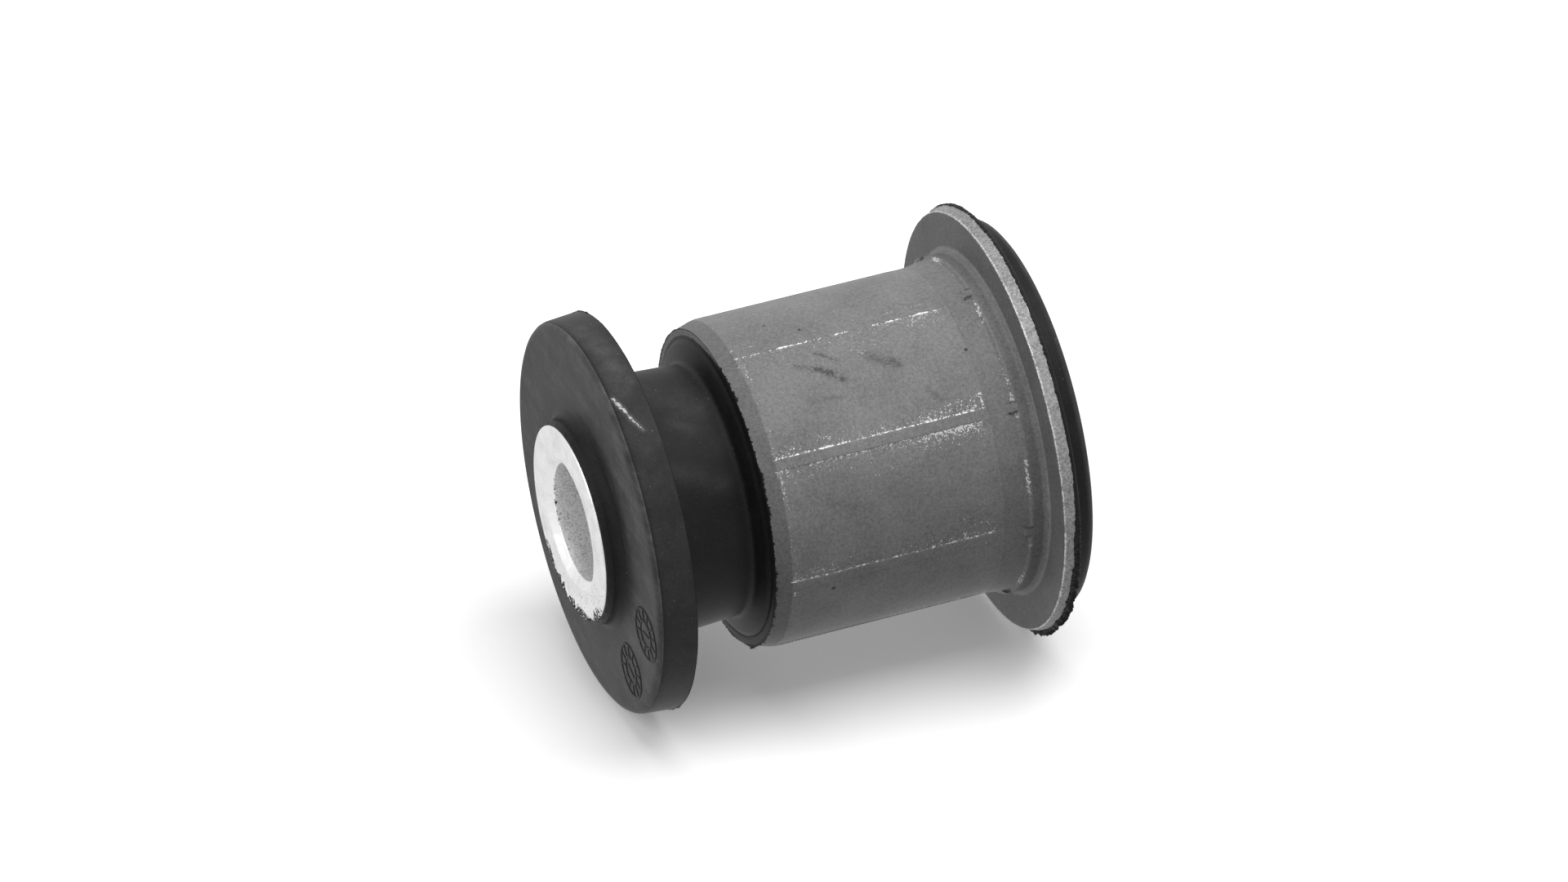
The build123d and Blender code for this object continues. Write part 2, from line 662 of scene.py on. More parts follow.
class Finish(Graph):
    """A material with one Principled shader behind a node graph."""

    def __init__(self, slot: Slot, effects: Effects) -> None:
        """Makes the material, its shader and the place of its points.

        Args:
            slot: the slot that it stands for, which gives its name.
            effects: the groups that finishes share.
        """
        self.material = bpy.data.materials.new(slot.value)
        self.material.use_nodes = True
        super().__init__(self.material.node_tree)
        self.effects = effects
        self.shader = self.tree.nodes.new("ShaderNodeBsdfPrincipled")
        self.node("ShaderNodeOutputMaterial", {"Surface": self.shader.outputs[0]})
        place = self.group(effects.place)
        self.height, self.radius, self.point = (place[k] for k in ("Height", "Radius", "Vector"))

    def group(self, tree: bpy.types.NodeTree, **inputs: object) -> bpy.types.NodeOutputs:
        """Places a node group, feeds its inputs by name and returns its outputs."""
        return self.node("ShaderNodeGroup", inputs, node_tree=tree)

    def set(self, name: str, value: object) -> None:
        """Feeds one of the shader's own sockets."""
        self.feed(self.shader.inputs[name], value)

    def grain(self, fine: float, coarse: float, seed: float) -> bpy.types.NodeOutputs:
        """Mottling at two scales."""
        keys = {"Fine scale": fine, "Coarse scale": coarse, "Seed": seed}
        return self.group(self.effects.grain, Vector=self.point, **keys)

    def mottled(self, grain: bpy.types.NodeOutputs, fine: Value, coarse: float) -> Socket:
        """One, with so much of each mottling on it."""
        scaled = self.product(grain["Fine"], fine), self.product(grain["Coarse"], coarse)
        return self.total(1.0, *scaled)

    def band(self, value: Value, centre: float, half: float, soft: float) -> Socket:
        """Mask of a band in a value."""
        keys = {"Value": value, "Centre": centre, "Half": half, "Soft": soft}
        return self.group(self.effects.band, **keys)[0]

    def cloud(self, cloud: Cloud, vector: Optional[Socket] = None) -> Socket:
        """Soft patches.

        Args:
            cloud: their sizes.
            vector: where they are read, if not at the surface's own points.

        Returns:
            Their value.
        """
        point = self.point if vector is None else vector
        raw = self.noise(point, cloud.scale, cloud.detail, cloud.roughness, cloud.seed)
        return self.rise(raw, cloud.low, cloud.high, cloud.start, cloud.end)

    def speckle(self, spots: Spots, coverage: Optional[Value] = None) -> Socket:
        """Mask of small spots.

        Args:
            spots: their sizes.
            coverage: how many there are, if that is not their own coverage.

        Returns:
            The mask.
        """
        share = spots.coverage if coverage is None else coverage
        keys = {"Scale": spots.scale, "Coverage": share, "Seed": spots.seed, "Sharp": spots.sharp}
        return self.group(self.effects.speckle, Vector=self.point, **keys)[0]

    def dots(self, marks: Sequence[Triple], radius: float) -> Socket:
        """Mask of round marks on a wall.

        Args:
            marks: azimuth, height and size of each.
            radius: radius of the wall.

        Returns:
            The mask of them all.
        """
        masks = []
        for azimuth, height, size in marks:
            a = np.radians(azimuth)
            keys = {"Centre": (radius * float(np.cos(a)), radius * float(np.sin(a)), height)}
            masks.append(self.group(self.effects.dot, Vector=self.point, Radius=size, **keys)[0])
        return self.highest(*masks)

    def gain(self, mask: Value, gain: float) -> Socket:
        """A gain where the mask is one, and one elsewhere."""
        return self.blend(mask, 1.0, gain)

    def grey(self, value: Value) -> None:
        """Feeds a neutral base colour."""
        channels = dict.fromkeys(("Red", "Green", "Blue"), value)
        self.set("Base Color", self.node("ShaderNodeCombineColor", channels)[0])

    def bump(self, *heights: Value) -> None:
        """Feeds a bump of the sum of some heights, in shares of the relief."""
        keys = {"Strength": 1.0, "Distance": RELIEF * MM, "Height": self.total(*heights)}
        self.set("Normal", self.node("ShaderNodeBump", keys)[0])


@dataclass(frozen=True)
class CoatedSteelFinish:
    """Grey phosphate coat on pressed steel, burnished where the jaws bit.

    The sheared rim and the lead-in taper differ from the wall: the rim is bare and
    coarse, and the taper is darker.
    """

    coat: float = 0.24
    bright: float = 0.7
    bare_rim: float = 0.33
    roughness: float = 0.55
    bright_roughness: float = 0.4
    specular: float = 0.2
    glint_metal: float = 0.35
    rim_metal: float = 0.3
    stray_share: float = 0.6
    wall_radius: float = 20.0
    rim_radius: float = 25.66
    root_radius: float = 21.3
    flange_height: float = 7.1
    mouth_height: float = 41.25
    taper_foot: float = 39.3
    # How bright each place is beside the wall, painted shade and highlight among them
    taper_gain: float = 0.76
    # Painted shade on the flange's front, which the sleeve shades
    flange_shade_gain: float = 0.78
    # Painted highlight on the fillet at the flange's root
    root_highlight_gain: float = 1.3
    end_gain: float = 1.9
    # Darkens the smudges and the painted shadow beside the bridges
    soil_and_shadow_gain: float = 0.35
    pit_gain: float = 0.25
    pepper_gain: float = -0.45
    # The mottling's fine and coarse scale and its seed, and how much of each is on
    # the coat and on the rim
    grain: Triple = (3.6, 0.16, 1.0)
    coat_mottling: Pair = (0.7, 0.34)
    rim_mottling: Pair = (1.2, 0.3)
    # Heights of the relief
    wall_relief: float = 0.35
    rim_relief: float = 1.5
    glint_relief: float = 0.8
    pit_relief: float = -3.0
    glints: Spots = Spots(4.7, 2.0, 0.05)
    strays: Spots = Spots(5.0, 3.0, 0.04, -0.1)
    pepper: Spots = Spots(5.5, 21.0, 0.06)
    pinholes: Spots = Spots(1.3, 5.0, 0.03, -0.2)
    # How the burnished share and the smudges come and go, painted highlight and shadow among them
    burnish_and_highlight_cloud: Cloud = Cloud(0.7, 3.0, 0.6, 22.0, 0.34, 0.6, 0.72, 1.12)
    smudge_and_shadow_cloud: Cloud = Cloud(2.6, 4.0, 0.7, 6.0, 0.36, 0.56)
    # Painted shade at the flare's foot, on the unpressed tube by the flange, and on the flare
    rings: tuple[ShadedRing, ...] = (
        ShadedRing(12.25, 0.03, 0.12, 0.88),
        ShadedRing(8.25, 0.45, 0.3, 0.82),
        ShadedRing(10.7, 1.2, 0.6, 0.9),
    )
    # Azimuth, height and size of each pit
    pits: tuple[Triple, ...] = (
        (-60.2, 12.5, 0.16),
        (-134.1, 34.06, 0.2),
        (-129.2, 36.0, 0.09),
        (-26.5, 33.7, 0.12),
        (-34.0, 30.2, 0.13),
        (71.0, 21.0, 0.17),
        (152.0, 30.5, 0.14),
    )

    def build(self, effects: Effects) -> bpy.types.Material:
        """Makes the material.

        Args:
            effects: the groups that finishes share.

        Returns:
            The material.
        """
        f = Finish(Slot.COATED, effects)
        grain, glint = f.grain(*self.grain), self._glint(f)
        rim = f.rise(f.radius, self.rim_radius, self.rim_radius + 0.06)
        pits = f.highest(f.dots(self.pits, self.wall_radius), f.speckle(self.pinholes))
        # Rubber smudges, and the painted shadow beside the bridges
        smudge_and_shadow = f.product(f.painted(Field.SOIL_AND_SHADOW), f.cloud(self.smudge_and_shadow_cloud))
        pepper = f.product(f.speckle(self.pepper), self.pepper_gain)
        shade = f.total(f.mottled(grain, *self.coat_mottling), pepper)
        coat = f.product(shade, self._tone_shade_and_highlight(f), self.coat)
        sheared = f.product(f.mottled(grain, *self.rim_mottling), self.bare_rim)
        base = f.blend(rim, coat, sheared)
        for mask, gain in ((smudge_and_shadow, self.soil_and_shadow_gain), (pits, self.pit_gain)):
            base = f.blend(mask, base, f.product(base, gain))
        f.grey(f.blend(glint, base, self.bright))
        metal = f.product(glint, self.glint_metal), f.product(rim, self.rim_metal)
        f.set("Metallic", f.highest(*metal))
        f.set("Roughness", f.blend(glint, self.roughness, self.bright_roughness))
        f.set("Specular IOR Level", self.specular)
        coarse = f.product(grain["Fine"], f.blend(rim, self.wall_relief, self.rim_relief))
        f.bump(coarse, f.product(glint, self.glint_relief), f.product(pits, self.pit_relief))
        return f.material

    def _glint(self, f: Finish) -> Socket:
        """Mask of burnished bare steel, the painted root highlight, and a few strays.

        Args:
            f: the finish that it is for.

        Returns:
            The mask.
        """
        burnish_and_highlight = f.product(f.painted(Field.BURNISH_AND_HIGHLIGHT), f.cloud(self.burnish_and_highlight_cloud))
        strays = f.product(f.speckle(self.strays), self.stray_share)
        return f.highest(f.speckle(self.glints, burnish_and_highlight), strays)

    def _tone_shade_and_highlight(self, f: Finish) -> Socket:
        """How bright the coat is at each place beside the wall, with painted shade and highlight.

        Args:
            f: the finish that it is for.

        Returns:
            The product of the places' gains.
        """
        taper = f.rise(f.height, self.taper_foot, self.taper_foot + 0.12)
        end = f.rise(f.height, self.mouth_height - 0.08, self.mouth_height - 0.02)
        # Painted shade on the flange's front
        flange = f.product(
            f.rise(f.radius, self.root_radius, self.root_radius + 0.5),
            f.rise(f.height, self.flange_height + 0.3, self.flange_height),
        )
        # Painted highlight round the flange's root
        root = f.product(
            f.band(f.radius, self.root_radius + 0.05, 0.12, 0.18),
            f.rise(f.height, self.flange_height + 0.5, self.flange_height + 0.1),
        )
        # Painted shade on the flare, its crease and the tube by the flange
        gains = [f.gain(f.band(f.height, r.height, r.half, r.soft), r.gain) for r in self.rings]
        gains += [f.gain(taper, self.taper_gain), f.gain(end, self.end_gain)]
        gains += [f.gain(flange, self.flange_shade_gain), f.gain(root, self.root_highlight_gain)]
        return f.product(*gains)


@dataclass(frozen=True)
class RubberFinish:
    """Black moulded rubber with a bloom of pale dust and a few specks."""

    black: float = 0.012
    dusty: float = 0.225
    speck: float = 0.7
    roughness: float = 0.5
    dusty_roughness: float = 0.75
    specular: float = 0.14
    # Dust that lies all over, in clouds
    haze: float = 0.035
    haze_cloud: Cloud = Cloud(0.55, 5.0, 0.62, 8.0, 0.35, 0.75)
    # How the painted dust comes and goes
    dust_cloud: Cloud = Cloud(0.4, 6.0, 0.62, 9.0, 0.2, 0.8, 0.25, 0.77)
    # The disc's face ends at this height, outside this radius, in a painted highlight line
    face_edge: float = 57.1
    face_start: float = 22.0
    edge_highlight: float = 0.24
    # The wipes on the face: their direction, length, width and noise
    wipe_angle: float = 57.0
    wipe_length: float = 13.0
    wipe_width: float = 1.8
    wipes: Cloud = Cloud(1.0, 5.0, 0.6, 23.0, 0.4, 0.62, 0.78, 1.4)
    # Dust past this much is a scuff, which is full of specks
    scuff: float = 0.8
    scuff_gain: float = 5.0
    scuff_specks: Spots = Spots(5.5, 12.0, 0.05)
    specks: Spots = Spots(4.6, 11.0, 0.06)
    # The mottling's scales and seed, and how much of each is on the rubber
    grain: Triple = (3.0, 0.22, 4.0)
    mottling: Pair = (0.5, 0.4)
    grain_relief: float = 0.5
    speck_relief: float = 0.6

    def build(self, effects: Effects) -> bpy.types.Material:
        """Makes the material.

        Args:
            effects: the groups that finishes share.

        Returns:
            The material.
        """
        f = Finish(Slot.RUBBER, effects)
        grain, dust = f.grain(*self.grain), f.painted(Field.DUST)
        settled = f.product(f.highest(dust, self._face_bloom_and_highlight(f), 0.0), f.cloud(self.dust_cloud))
        bloom = f.total(f.product(f.cloud(self.haze_cloud), self.haze), settled)
        worn = f.product(f.highest(f.less(dust, self.scuff), 0.0), self.scuff_gain)
        specks = f.highest(f.speckle(self.specks), f.speckle(self.scuff_specks, worn))
        shade = f.mottled(grain, *self.mottling)
        base = f.product(f.blend(bloom, self.black, self.dusty), shade)
        f.grey(f.blend(specks, base, self.speck))
        f.set("Roughness", f.blend(bloom, self.roughness, self.dusty_roughness))
        f.set("Specular IOR Level", self.specular)
        f.bump(f.product(grain["Fine"], self.grain_relief), f.product(specks, self.speck_relief))
        return f.material

    def _face_bloom_and_highlight(self, f: Finish) -> Socket:
        """Dust on the disc's face, streaked by wiping, with a painted highlight line at its edge.

        Args:
            f: the finish that it is for.

        Returns:
            The dust's share.
        """
        outer = f.rise(f.radius, self.face_start, self.face_start + 0.1)
        upper = f.rise(f.height, self.face_edge - 0.05, self.face_edge + 0.05)
        along = f.along(f.point, self.wipe_angle, self.wipe_length, self.wipe_width)
        # Painted highlight along the disc's rounded edge
        line = f.product(f.band(f.height, self.face_edge + 0.06, 0.03, 0.1), outer, self.edge_highlight)
        bloom = f.total(f.product(f.painted(Field.BLOOM_AND_SHADE), f.cloud(self.wipes, along)), line)
        return f.product(bloom, f.blend(outer, 1.0, upper))


@dataclass(frozen=True)
class MachinedSteelFinish:
    """Bright bare steel, pressed flat on its ends and speckled in its bore."""

    bright: float = 0.92
    bore: float = 0.85
    # Painted sheen: the whole chamfer lighter than the end
    chamfer_sheen_gain: float = 1.08
    smear: float = 0.02
    glint: float = 1.0
    roughness: float = 0.4
    smear_roughness: float = 0.8
    specular: float = 0.2
    end_metal: float = 0.62
    bore_metal: float = 0.75
    bore_radius: float = 7.25
    chamfer_radius: float = 8.15
    glints: Spots = Spots(3.2, 13.0, 0.03, 0.36)
    smears: Spots = Spots(2.6, 15.0, 0.04)
    # The mottling's scales and seed, and how much of the fine one is on the ends and
    # in the bore, and of the coarse one everywhere
    grain: Triple = (4.0, 0.5, 7.0)
    end_mottling: float = 0.22
    bore_mottling: float = 1.1
    coarse_mottling: float = 0.3
    grain_relief: float = 0.6
    smear_relief: float = 1.5

    def build(self, effects: Effects) -> bpy.types.Material:
        """Makes the material.

        Args:
            effects: the groups that finishes share.

        Returns:
            The material.
        """
        f = Finish(Slot.MACHINED, effects)
        grain = f.grain(*self.grain)
        bore = f.rise(f.radius, self.bore_radius + 0.1, self.bore_radius + 0.02)
        chamfer = f.rise(f.radius, self.chamfer_radius + 0.06, self.chamfer_radius - 0.06)
        fine = f.blend(bore, self.end_mottling, self.bore_mottling)
        shade = f.mottled(grain, fine, self.coarse_mottling)
        # The chamfer's gain is a painted sheen
        tone = f.product(f.blend(bore, self.bright, self.bore), f.gain(chamfer, self.chamfer_sheen_gain))
        glints = f.product(f.speckle(self.glints), bore)
        base = f.blend(glints, f.product(shade, tone), self.glint)
        smears = f.speckle(self.smears, f.painted(Field.SOIL_AND_SHADOW))
        f.grey(f.blend(smears, base, self.smear))
        metal = f.blend(bore, self.end_metal, self.bore_metal)
        f.set("Metallic", f.product(metal, f.less(1.0, smears)))
        f.set("Roughness", f.blend(smears, self.roughness, self.smear_roughness))
        f.set("Specular IOR Level", self.specular)
        f.bump(f.product(grain["Fine"], self.grain_relief), f.product(smears, self.smear_relief))
        return f.material


# --------------------------------------------------------------------- pieces
@dataclass
class InnerSleeve:
    """Turned inner sleeve, clamped by a bolt through its bore."""

    length: float = 60.0
    radius: float = 12.0
    bore_radius: float = 7.25
    bore_chamfer: float = 0.9
    edge_break: float = 0.15
    columns: int = 480
    # Waves of the upper chamfer's edge, and how far below the end they reach
    wave: float = 0.06
    wave_depth: float = 1.2
    # Rubber smears by the outer edge of the end, and the width of their band: the
    # least, and what a noise adds
    smears: Arc = Arc(92.0, 214.0, 40.0, 0.82)
    smear_widths: Pair = (0.5, 1.9)
    # Dark line on the chamfer's lower edge
    burr: Arc = Arc(30.0, 105.0, 40.0, 0.8)
    burr_width: float = 0.09
    # Thin smears over the whole end
    dirt: Arc = Arc(135.0, 235.0, 50.0, 0.5)

    @property
    def mouth(self) -> float:
        """Radius at which the chamfer meets the end."""
        return self.bore_radius + self.bore_chamfer

    def _outline(self) -> np.ndarray:
        """Outline of the tube, from the bore's lower chamfer up and round.

        Returns:
            Array of (radius, height) rows.
        """
        return rounded_outline(
            [
                Corner(self.bore_radius, self.bore_chamfer, 0.25, 1.5),
                Corner(self.bore_radius, self.length - self.bore_chamfer, 0.12, 0.12),
                Corner(self.mouth, self.length, 0.15, 0.2),
                Corner(self.radius, self.length, self.edge_break, 5.0),
                Corner(self.radius, 0.0, self.edge_break, 0.3),
                Corner(self.mouth, 0.0, 0.15),
            ]
        )

    def build(self, material: bpy.types.Material) -> list[bpy.types.Object]:
        """Makes the sleeve, which stands for the solid.

        The upper chamfer's radius is waved by a ring noise.

        Args:
            material: the sleeve's finish.

        Returns:
            The sleeve.
        """
        grid = Lathe.around(self._outline(), even_angles(self.columns))
        edge = (grid.radius > self.bore_radius + 0.2) & (grid.radius < self.mouth + 0.3)
        edge &= grid.height > self.length - self.wave_depth
        waved = grid.radius + self.wave * ring_noise(grid.angles, 90, 31) * edge
        surface = Lathe(waved, grid.height, grid.angles).surface()
        piece = grid_mesh("inner_sleeve_turned", surface)
        paint(piece, Field.SOIL_AND_SHADOW, 1.5 * self._soil(grid) - 0.5)
        piece.data.materials.append(material)
        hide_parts("inner_sleeve")
        return [piece]

    def _soil(self, grid: Lathe) -> np.ndarray:
        """Rubber that the moulding left on the upper end.

        Smears reach in from the outer edge by the size of a ring noise. A bell curve
        of the radius marks the chamfer's lower edge.

        Args:
            grid: the sleeve's grid.

        Returns:
            Its share at each point.
        """
        radius, height, angles = grid.radius, grid.height, grid.angles
        reach = varied(self.smear_widths, np.abs(ring_noise(angles, 60, 32)))
        near = smooth_step(radius, self.radius - 0.1 - reach, self.radius + 0.1 - reach * 0.5)
        burr = bell(radius, self.bore_radius + 0.05, self.burr_width)
        layers = (
            near * self.smears.window(angles) * (height > self.length - 0.5),
            burr * self.burr.window(angles) * (height > self.length - self.bore_chamfer - 0.1),
            self.dirt.window(angles) * (radius > self.mouth + 0.4) * (height > self.length - 0.05),
        )
        return np.maximum.reduce(layers)


@dataclass(frozen=True)
class Gaps:
    """Where columns of the outer sleeve lie beside the gaps between its jaws.

    For each column: the number of the nearest gap, whether it is on that gap's
    upper side, its distance round the wall from the gap's middle, and how much of it
    is inside the gap.
    """

    number: np.ndarray
    upper: np.ndarray
    away: np.ndarray
    inside: np.ndarray


@dataclass
class OuterSleeve:
    """Pressed outer sleeve with its flange, lead-in taper and sizing marks."""

    radius: float = 20.0
    wall: float = 1.65
    mouth_height: float = 41.25
    lead_in_length: float = 1.95
    lead_in_drop: float = 0.6
    lead_in_blend: float = 1.0
    flange_rear: float = 5.5
    flange_thickness: float = 1.5
    flange_radius: float = 26.3
    rim_draft: float = 0.55
    rim_rollover: float = 0.2
    bend_radius: float = 3.0
    root_radius: float = 0.7
    jaw_count: int = 8
    jaw_phase: float = 6.2
    jaw_end: float = 9.1
    jaw_flare: float = 3.1
    flare_rise: float = 0.45
    flare_blend: float = 14.0
    end_step: float = 0.35
    end_step_height: float = 0.25
    gap_width: float = 1.25
    gap_height: float = 0.09
    gap_run_out: float = 2.4
    gap_edge: float = 0.1
    bridge_height: float = 1.1
    columns: int = 520
    # Waves that the shear left round the rim, and how far it lies inside them
    shear: Pair = (0.035, 0.02)
    shear_depth: float = 0.03
    # How bright the wear is on the low and the high side of each gap
    line_wear: tuple[Pair, ...] = (
        (0.5, 0.65),
        (0.75, 0.4),
        (0.4, 0.6),
        (0.65, 0.7),
        (0.5, 0.35),
        (0.25, 0.78),
        (0.62, 0.85),
        (0.95, 0.7),
    )
    # How far the wear spreads beside them
    side_wear: tuple[Pair, ...] = (
        (0.3, 0.48),
        (0.45, 0.3),
        (0.3, 0.4),
        (0.5, 0.45),
        (0.35, 0.3),
        (0.25, 0.46),
        (0.62, 0.58),
        (0.56, 0.25),
    )
    # The wear's strength and width on a gap's edge, and beside the gap
    line_strength: float = 0.62
    line_width: float = 0.15
    spread_strength: float = 0.93
    spread_width: float = 2.6
    spread_start: float = 0.6
    # Wear beside a gap falls to this share between these heights
    thinned: float = 0.7
    thinning: Pair = (15.0, 27.0)
    # Single marks of wear are no stronger than this
    mark_limit: float = 0.72
    # Middle and swing of the noises that break the line and the end step, and how
    # fast the line's noise is run through along the height
    line_breaks: Pair = (0.66, 0.6)
    step_breaks: Pair = (0.46, 0.4)
    line_turns: float = 40.0
    # Wear on the taper's foot: everywhere, and added beside a gap
    foot_wear: Pair = (0.4, 0.4)
    foot_reach: float = 1.6
    # Bright metal on the sheared rim: all over, and added on its two edges
    rim_wear: Pair = (0.22, 0.65)
    # Painted highlight of bright specks round the flange's root
    root_highlight: float = 0.42
    # Taken off everywhere, so that the plain coat stays clear of specks
    clear_coat: float = 0.08
    # Painted shadow at both sides of each bridge
    bridge_shadow: float = 1.4
    bridge_shadow_width: float = 0.13
    wear: tuple[Rub, ...] = (
        Rub((-44.0, 38.6), (-55.0, 39.0), 0.35, 0.5),
        Rub((-49.0, 25.6), (-51.5, 24.3), 0.6, 0.5),
        Rub((-46.0, 23.5), (-49.0, 21.0), 1.0, 0.4),
        Rub((-76.3, 12.7), (-82.0, 12.8), 0.35, 0.75),
        Rub((-77.6, 33.2), (-78.4, 32.0), 0.5, 0.5),
        Rub((-93.0, 22.9), (-94.6, 22.2), 0.5, 0.36),
        Rub((-93.5, 25.0), (-96.0, 29.0), 0.4, 0.4),
        Rub((-86.6, 39.0), (-95.0, 39.2), 0.35, 0.6),
        Rub((-95.0, 39.2), (-120.0, 39.2), 0.2, 0.35),
        Rub((-80.6, 39.0), (-76.0, 39.0), 0.3, 0.6),
        Rub((-124.5, 38.8), (-124.5, 34.0), 1.2, 0.4),
        Rub((-119.5, 18.0), (-124.0, 13.0), 1.3, 0.36),
        Rub((12.0, 33.0), (11.0, 16.0), 1.2, 0.45),
        Rub((48.0, 38.6), (48.0, 24.0), 0.9, 0.45),
        Rub((93.0, 20.0), (93.0, 12.8), 1.8, 0.55),
        Rub((138.0, 38.5), (137.0, 22.0), 1.0, 0.45),
        Rub((190.0, 26.0), (189.0, 13.0), 1.4, 0.5),
    )
    soil: tuple[Rub, ...] = (
        Rub((-50.7, 32.8), (-56.3, 29.0), 0.35, 0.7),
        Rub((-53.3, 30.6), (-60.3, 28.0), 0.5, 1.0),
        Rub((-47.1, 30.0), (-51.5, 28.1), 0.3, 0.8),
        Rub((-53.1, 24.2), (-58.8, 21.6), 0.7, 0.65),
        Rub((-70.3, 18.7), (-75.6, 17.4), 0.3, 0.4),
        Rub((-57.0, 21.5), (-60.0, 20.8), 0.35, 0.5),
        Rub((-64.9, 33.1), (-66.0, 29.0), 0.3, 0.35),
        Rub((-100.0, 34.0), (-104.0, 30.5), 0.5, 0.3),
        Rub((60.0, 30.0), (70.0, 26.5), 0.6, 0.8),
        Rub((66.0, 24.0), (73.0, 21.0), 0.4, 0.6),
        Rub((160.0, 20.0), (170.0, 24.0), 0.7, 0.7),
    )

    @property
    def taper_foot(self) -> float:
        """Height at which the lead-in taper starts."""
        return self.mouth_height - self.lead_in_length

    @property
    def flange_front(self) -> float:
        """Height of the flange's front face."""
        return self.flange_rear + self.flange_thickness

    @property
    def rim_front(self) -> float:
        """Radius of the flange's rim at its front face."""
        return self.flange_radius - self.rim_draft

    @property
    def flare_top(self) -> float:
        """Height at which the flare has run out."""
        return self.jaw_end + self.jaw_flare

    @property
    def flared(self) -> float:
        """Radius of the flare at the end step."""
        return self.radius + self.flare_rise

    @property
    def unpressed(self) -> float:
        """Radius of the tube that no jaw pressed."""
        return self.flared + self.end_step

    def _angles(self) -> np.ndarray:
        """Angles of the columns.

        They are even, with more at both edges of each gap between two jaws, where
        even ones that are too close to those are left out.

        Returns:
            The angles in degrees, in order.
        """
        half = np.degrees(self.gap_width / 2 / self.radius)
        edge = np.degrees(self.gap_edge / self.radius)
        marks = np.concatenate([side * (half + edge * np.arange(-2, 5)) for side in (-1, 1)])
        gaps = self.jaw_phase + np.arange(self.jaw_count) * 360.0 / self.jaw_count
        even = even_angles(self.columns)
        extra = (gaps[:, None] + marks[None, :]).ravel() % 360.0
        close = np.abs(angle_from(even[:, None], extra[None, :])).min(axis=1) < 0.12
        return np.sort(np.concatenate([even[~close], extra]))

    def _gaps(self, angles: np.ndarray) -> Gaps:
        """Where columns lie beside the gaps.

        Args:
            angles: angle of each column, in degrees.

        Returns:
            Their place, in millimetres round the wall.
        """
        pitch = 360.0 / self.jaw_count
        turn = (angles - self.jaw_phase) / pitch
        number = np.round(turn).astype(int)
        across = np.radians((turn - number) * pitch) * self.radius
        away, half = np.abs(across), self.gap_width / 2
        inside = 1.0 - smooth_step(away, half, half + self.gap_edge)
        return Gaps(number % self.jaw_count, (across > 0).astype(int), away, inside)

    def _outline(self) -> np.ndarray:
        """Outline of the wall and the flange, from the bend up the inner side.

        Returns:
            Array of (radius, height) rows.
        """
        bore = self.radius - self.wall
        step_top = self.jaw_end + self.end_step_height
        return rounded_outline(
            [
                Corner(bore, self.flange_rear, self.bend_radius, 4.0),
                Corner(bore, self.mouth_height, 0.05, 0.3),
                Corner(self.radius - self.lead_in_drop, self.mouth_height, 0.06, 0.3),
                Corner(self.radius, self.taper_foot, self.lead_in_blend, 0.42),
                Corner(self.radius, self.flare_top, self.flare_blend, 0.3),
                Corner(self.flared, step_top, 0.05, 0.1),
                Corner(self.unpressed, self.jaw_end, 0.05, 0.3),
                Corner(self.unpressed, self.flange_front, self.root_radius, 0.5),
                Corner(self.rim_front, self.flange_front, self.rim_rollover, 0.2),
                Corner(self.flange_radius, self.flange_rear, 0.05, 1.5),
            ]
        )

    def build(self, material: bpy.types.Material) -> list[bpy.types.Object]:
        """Makes the sleeve, which stands for the solid.

        Args:
            material: the sleeve's finish.

        Returns:
            The sleeve.
        """
        angles = self._angles()
        gaps, grid = self._gaps(angles), Lathe.around(self._outline(), angles)
        wall = (grid.radius > self.radius - self.wall / 2) & (grid.height > self.jaw_end - 0.01)
        wall &= grid.height < self.taper_foot + 0.2
        grid.radius = self._lifted(grid, gaps, wall)
        grid.radius = self._sheared(grid)
        piece = grid_mesh("outer_sleeve_pressed", grid.surface())
        paint(piece, Field.BURNISH_AND_HIGHLIGHT, self._burnish_and_highlight(grid, gaps, wall))
        paint(piece, Field.SOIL_AND_SHADOW, self._soil(grid, gaps, wall))
        piece.data.materials.append(material)
        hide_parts("outer_sleeve")
        return [piece]

    def _lifted(self, grid: Lathe, gaps: Gaps, wall: np.ndarray) -> np.ndarray:
        """Radius with the strips and bridges that stand in the gaps.

        In each gap the wall rises by the gap's height, which runs out at both ends,
        and across the end step it follows the bridge's own slope.

        Args:
            grid: the turned grid.
            gaps: where its columns lie.
            wall: which points the jaws pressed.

        Returns:
            The radius at each point.
        """
        radius, height = grid.radius, grid.height
        top = self.jaw_end + self.bridge_height
        proud = smooth_step(height, self.flare_top - 1.0, self.flare_top + self.gap_run_out)
        proud *= 1.0 - smooth_step(height, self.taper_foot - 0.6, self.taper_foot + 0.1)
        crests = self.jaw_end, self.jaw_end + self.bridge_height / 2, top
        slope = np.interp(height, crests, (self.unpressed, self.unpressed, self.flared))
        strip = radius + proud * self.gap_height
        lifted = np.where(height < top, np.maximum(slope, radius), strip)
        return np.where(wall, radius + gaps.inside * (lifted - radius), radius)

    def _sheared(self, grid: Lathe) -> np.ndarray:
        """Radius with the rim roughened by a coarse and a fine ring noise.

        Args:
            grid: the sleeve's grid.

        Returns:
            The radius at each point.
        """
        rim = smooth_step(grid.radius, self.rim_front - 0.1, self.rim_front)
        waves = zip(self.shear, (311, 90), (41, 42))
        rough = sum(size * ring_noise(grid.angles, knots, seed) for size, knots, seed in waves)
        on_rim = rim * (grid.height > self.flange_rear - 0.05)
        return grid.radius + on_rim * (rough - self.shear_depth)

    def _soil(self, grid: Lathe, gaps: Gaps, wall: np.ndarray) -> np.ndarray:
        """Rubber smudges on the wall, and a painted shadow at each side of each bridge.

        Args:
            grid: the sleeve's grid.
            gaps: where its columns lie.
            wall: which points the jaws pressed.

        Returns:
            Their share at each point.
        """
        height = grid.height
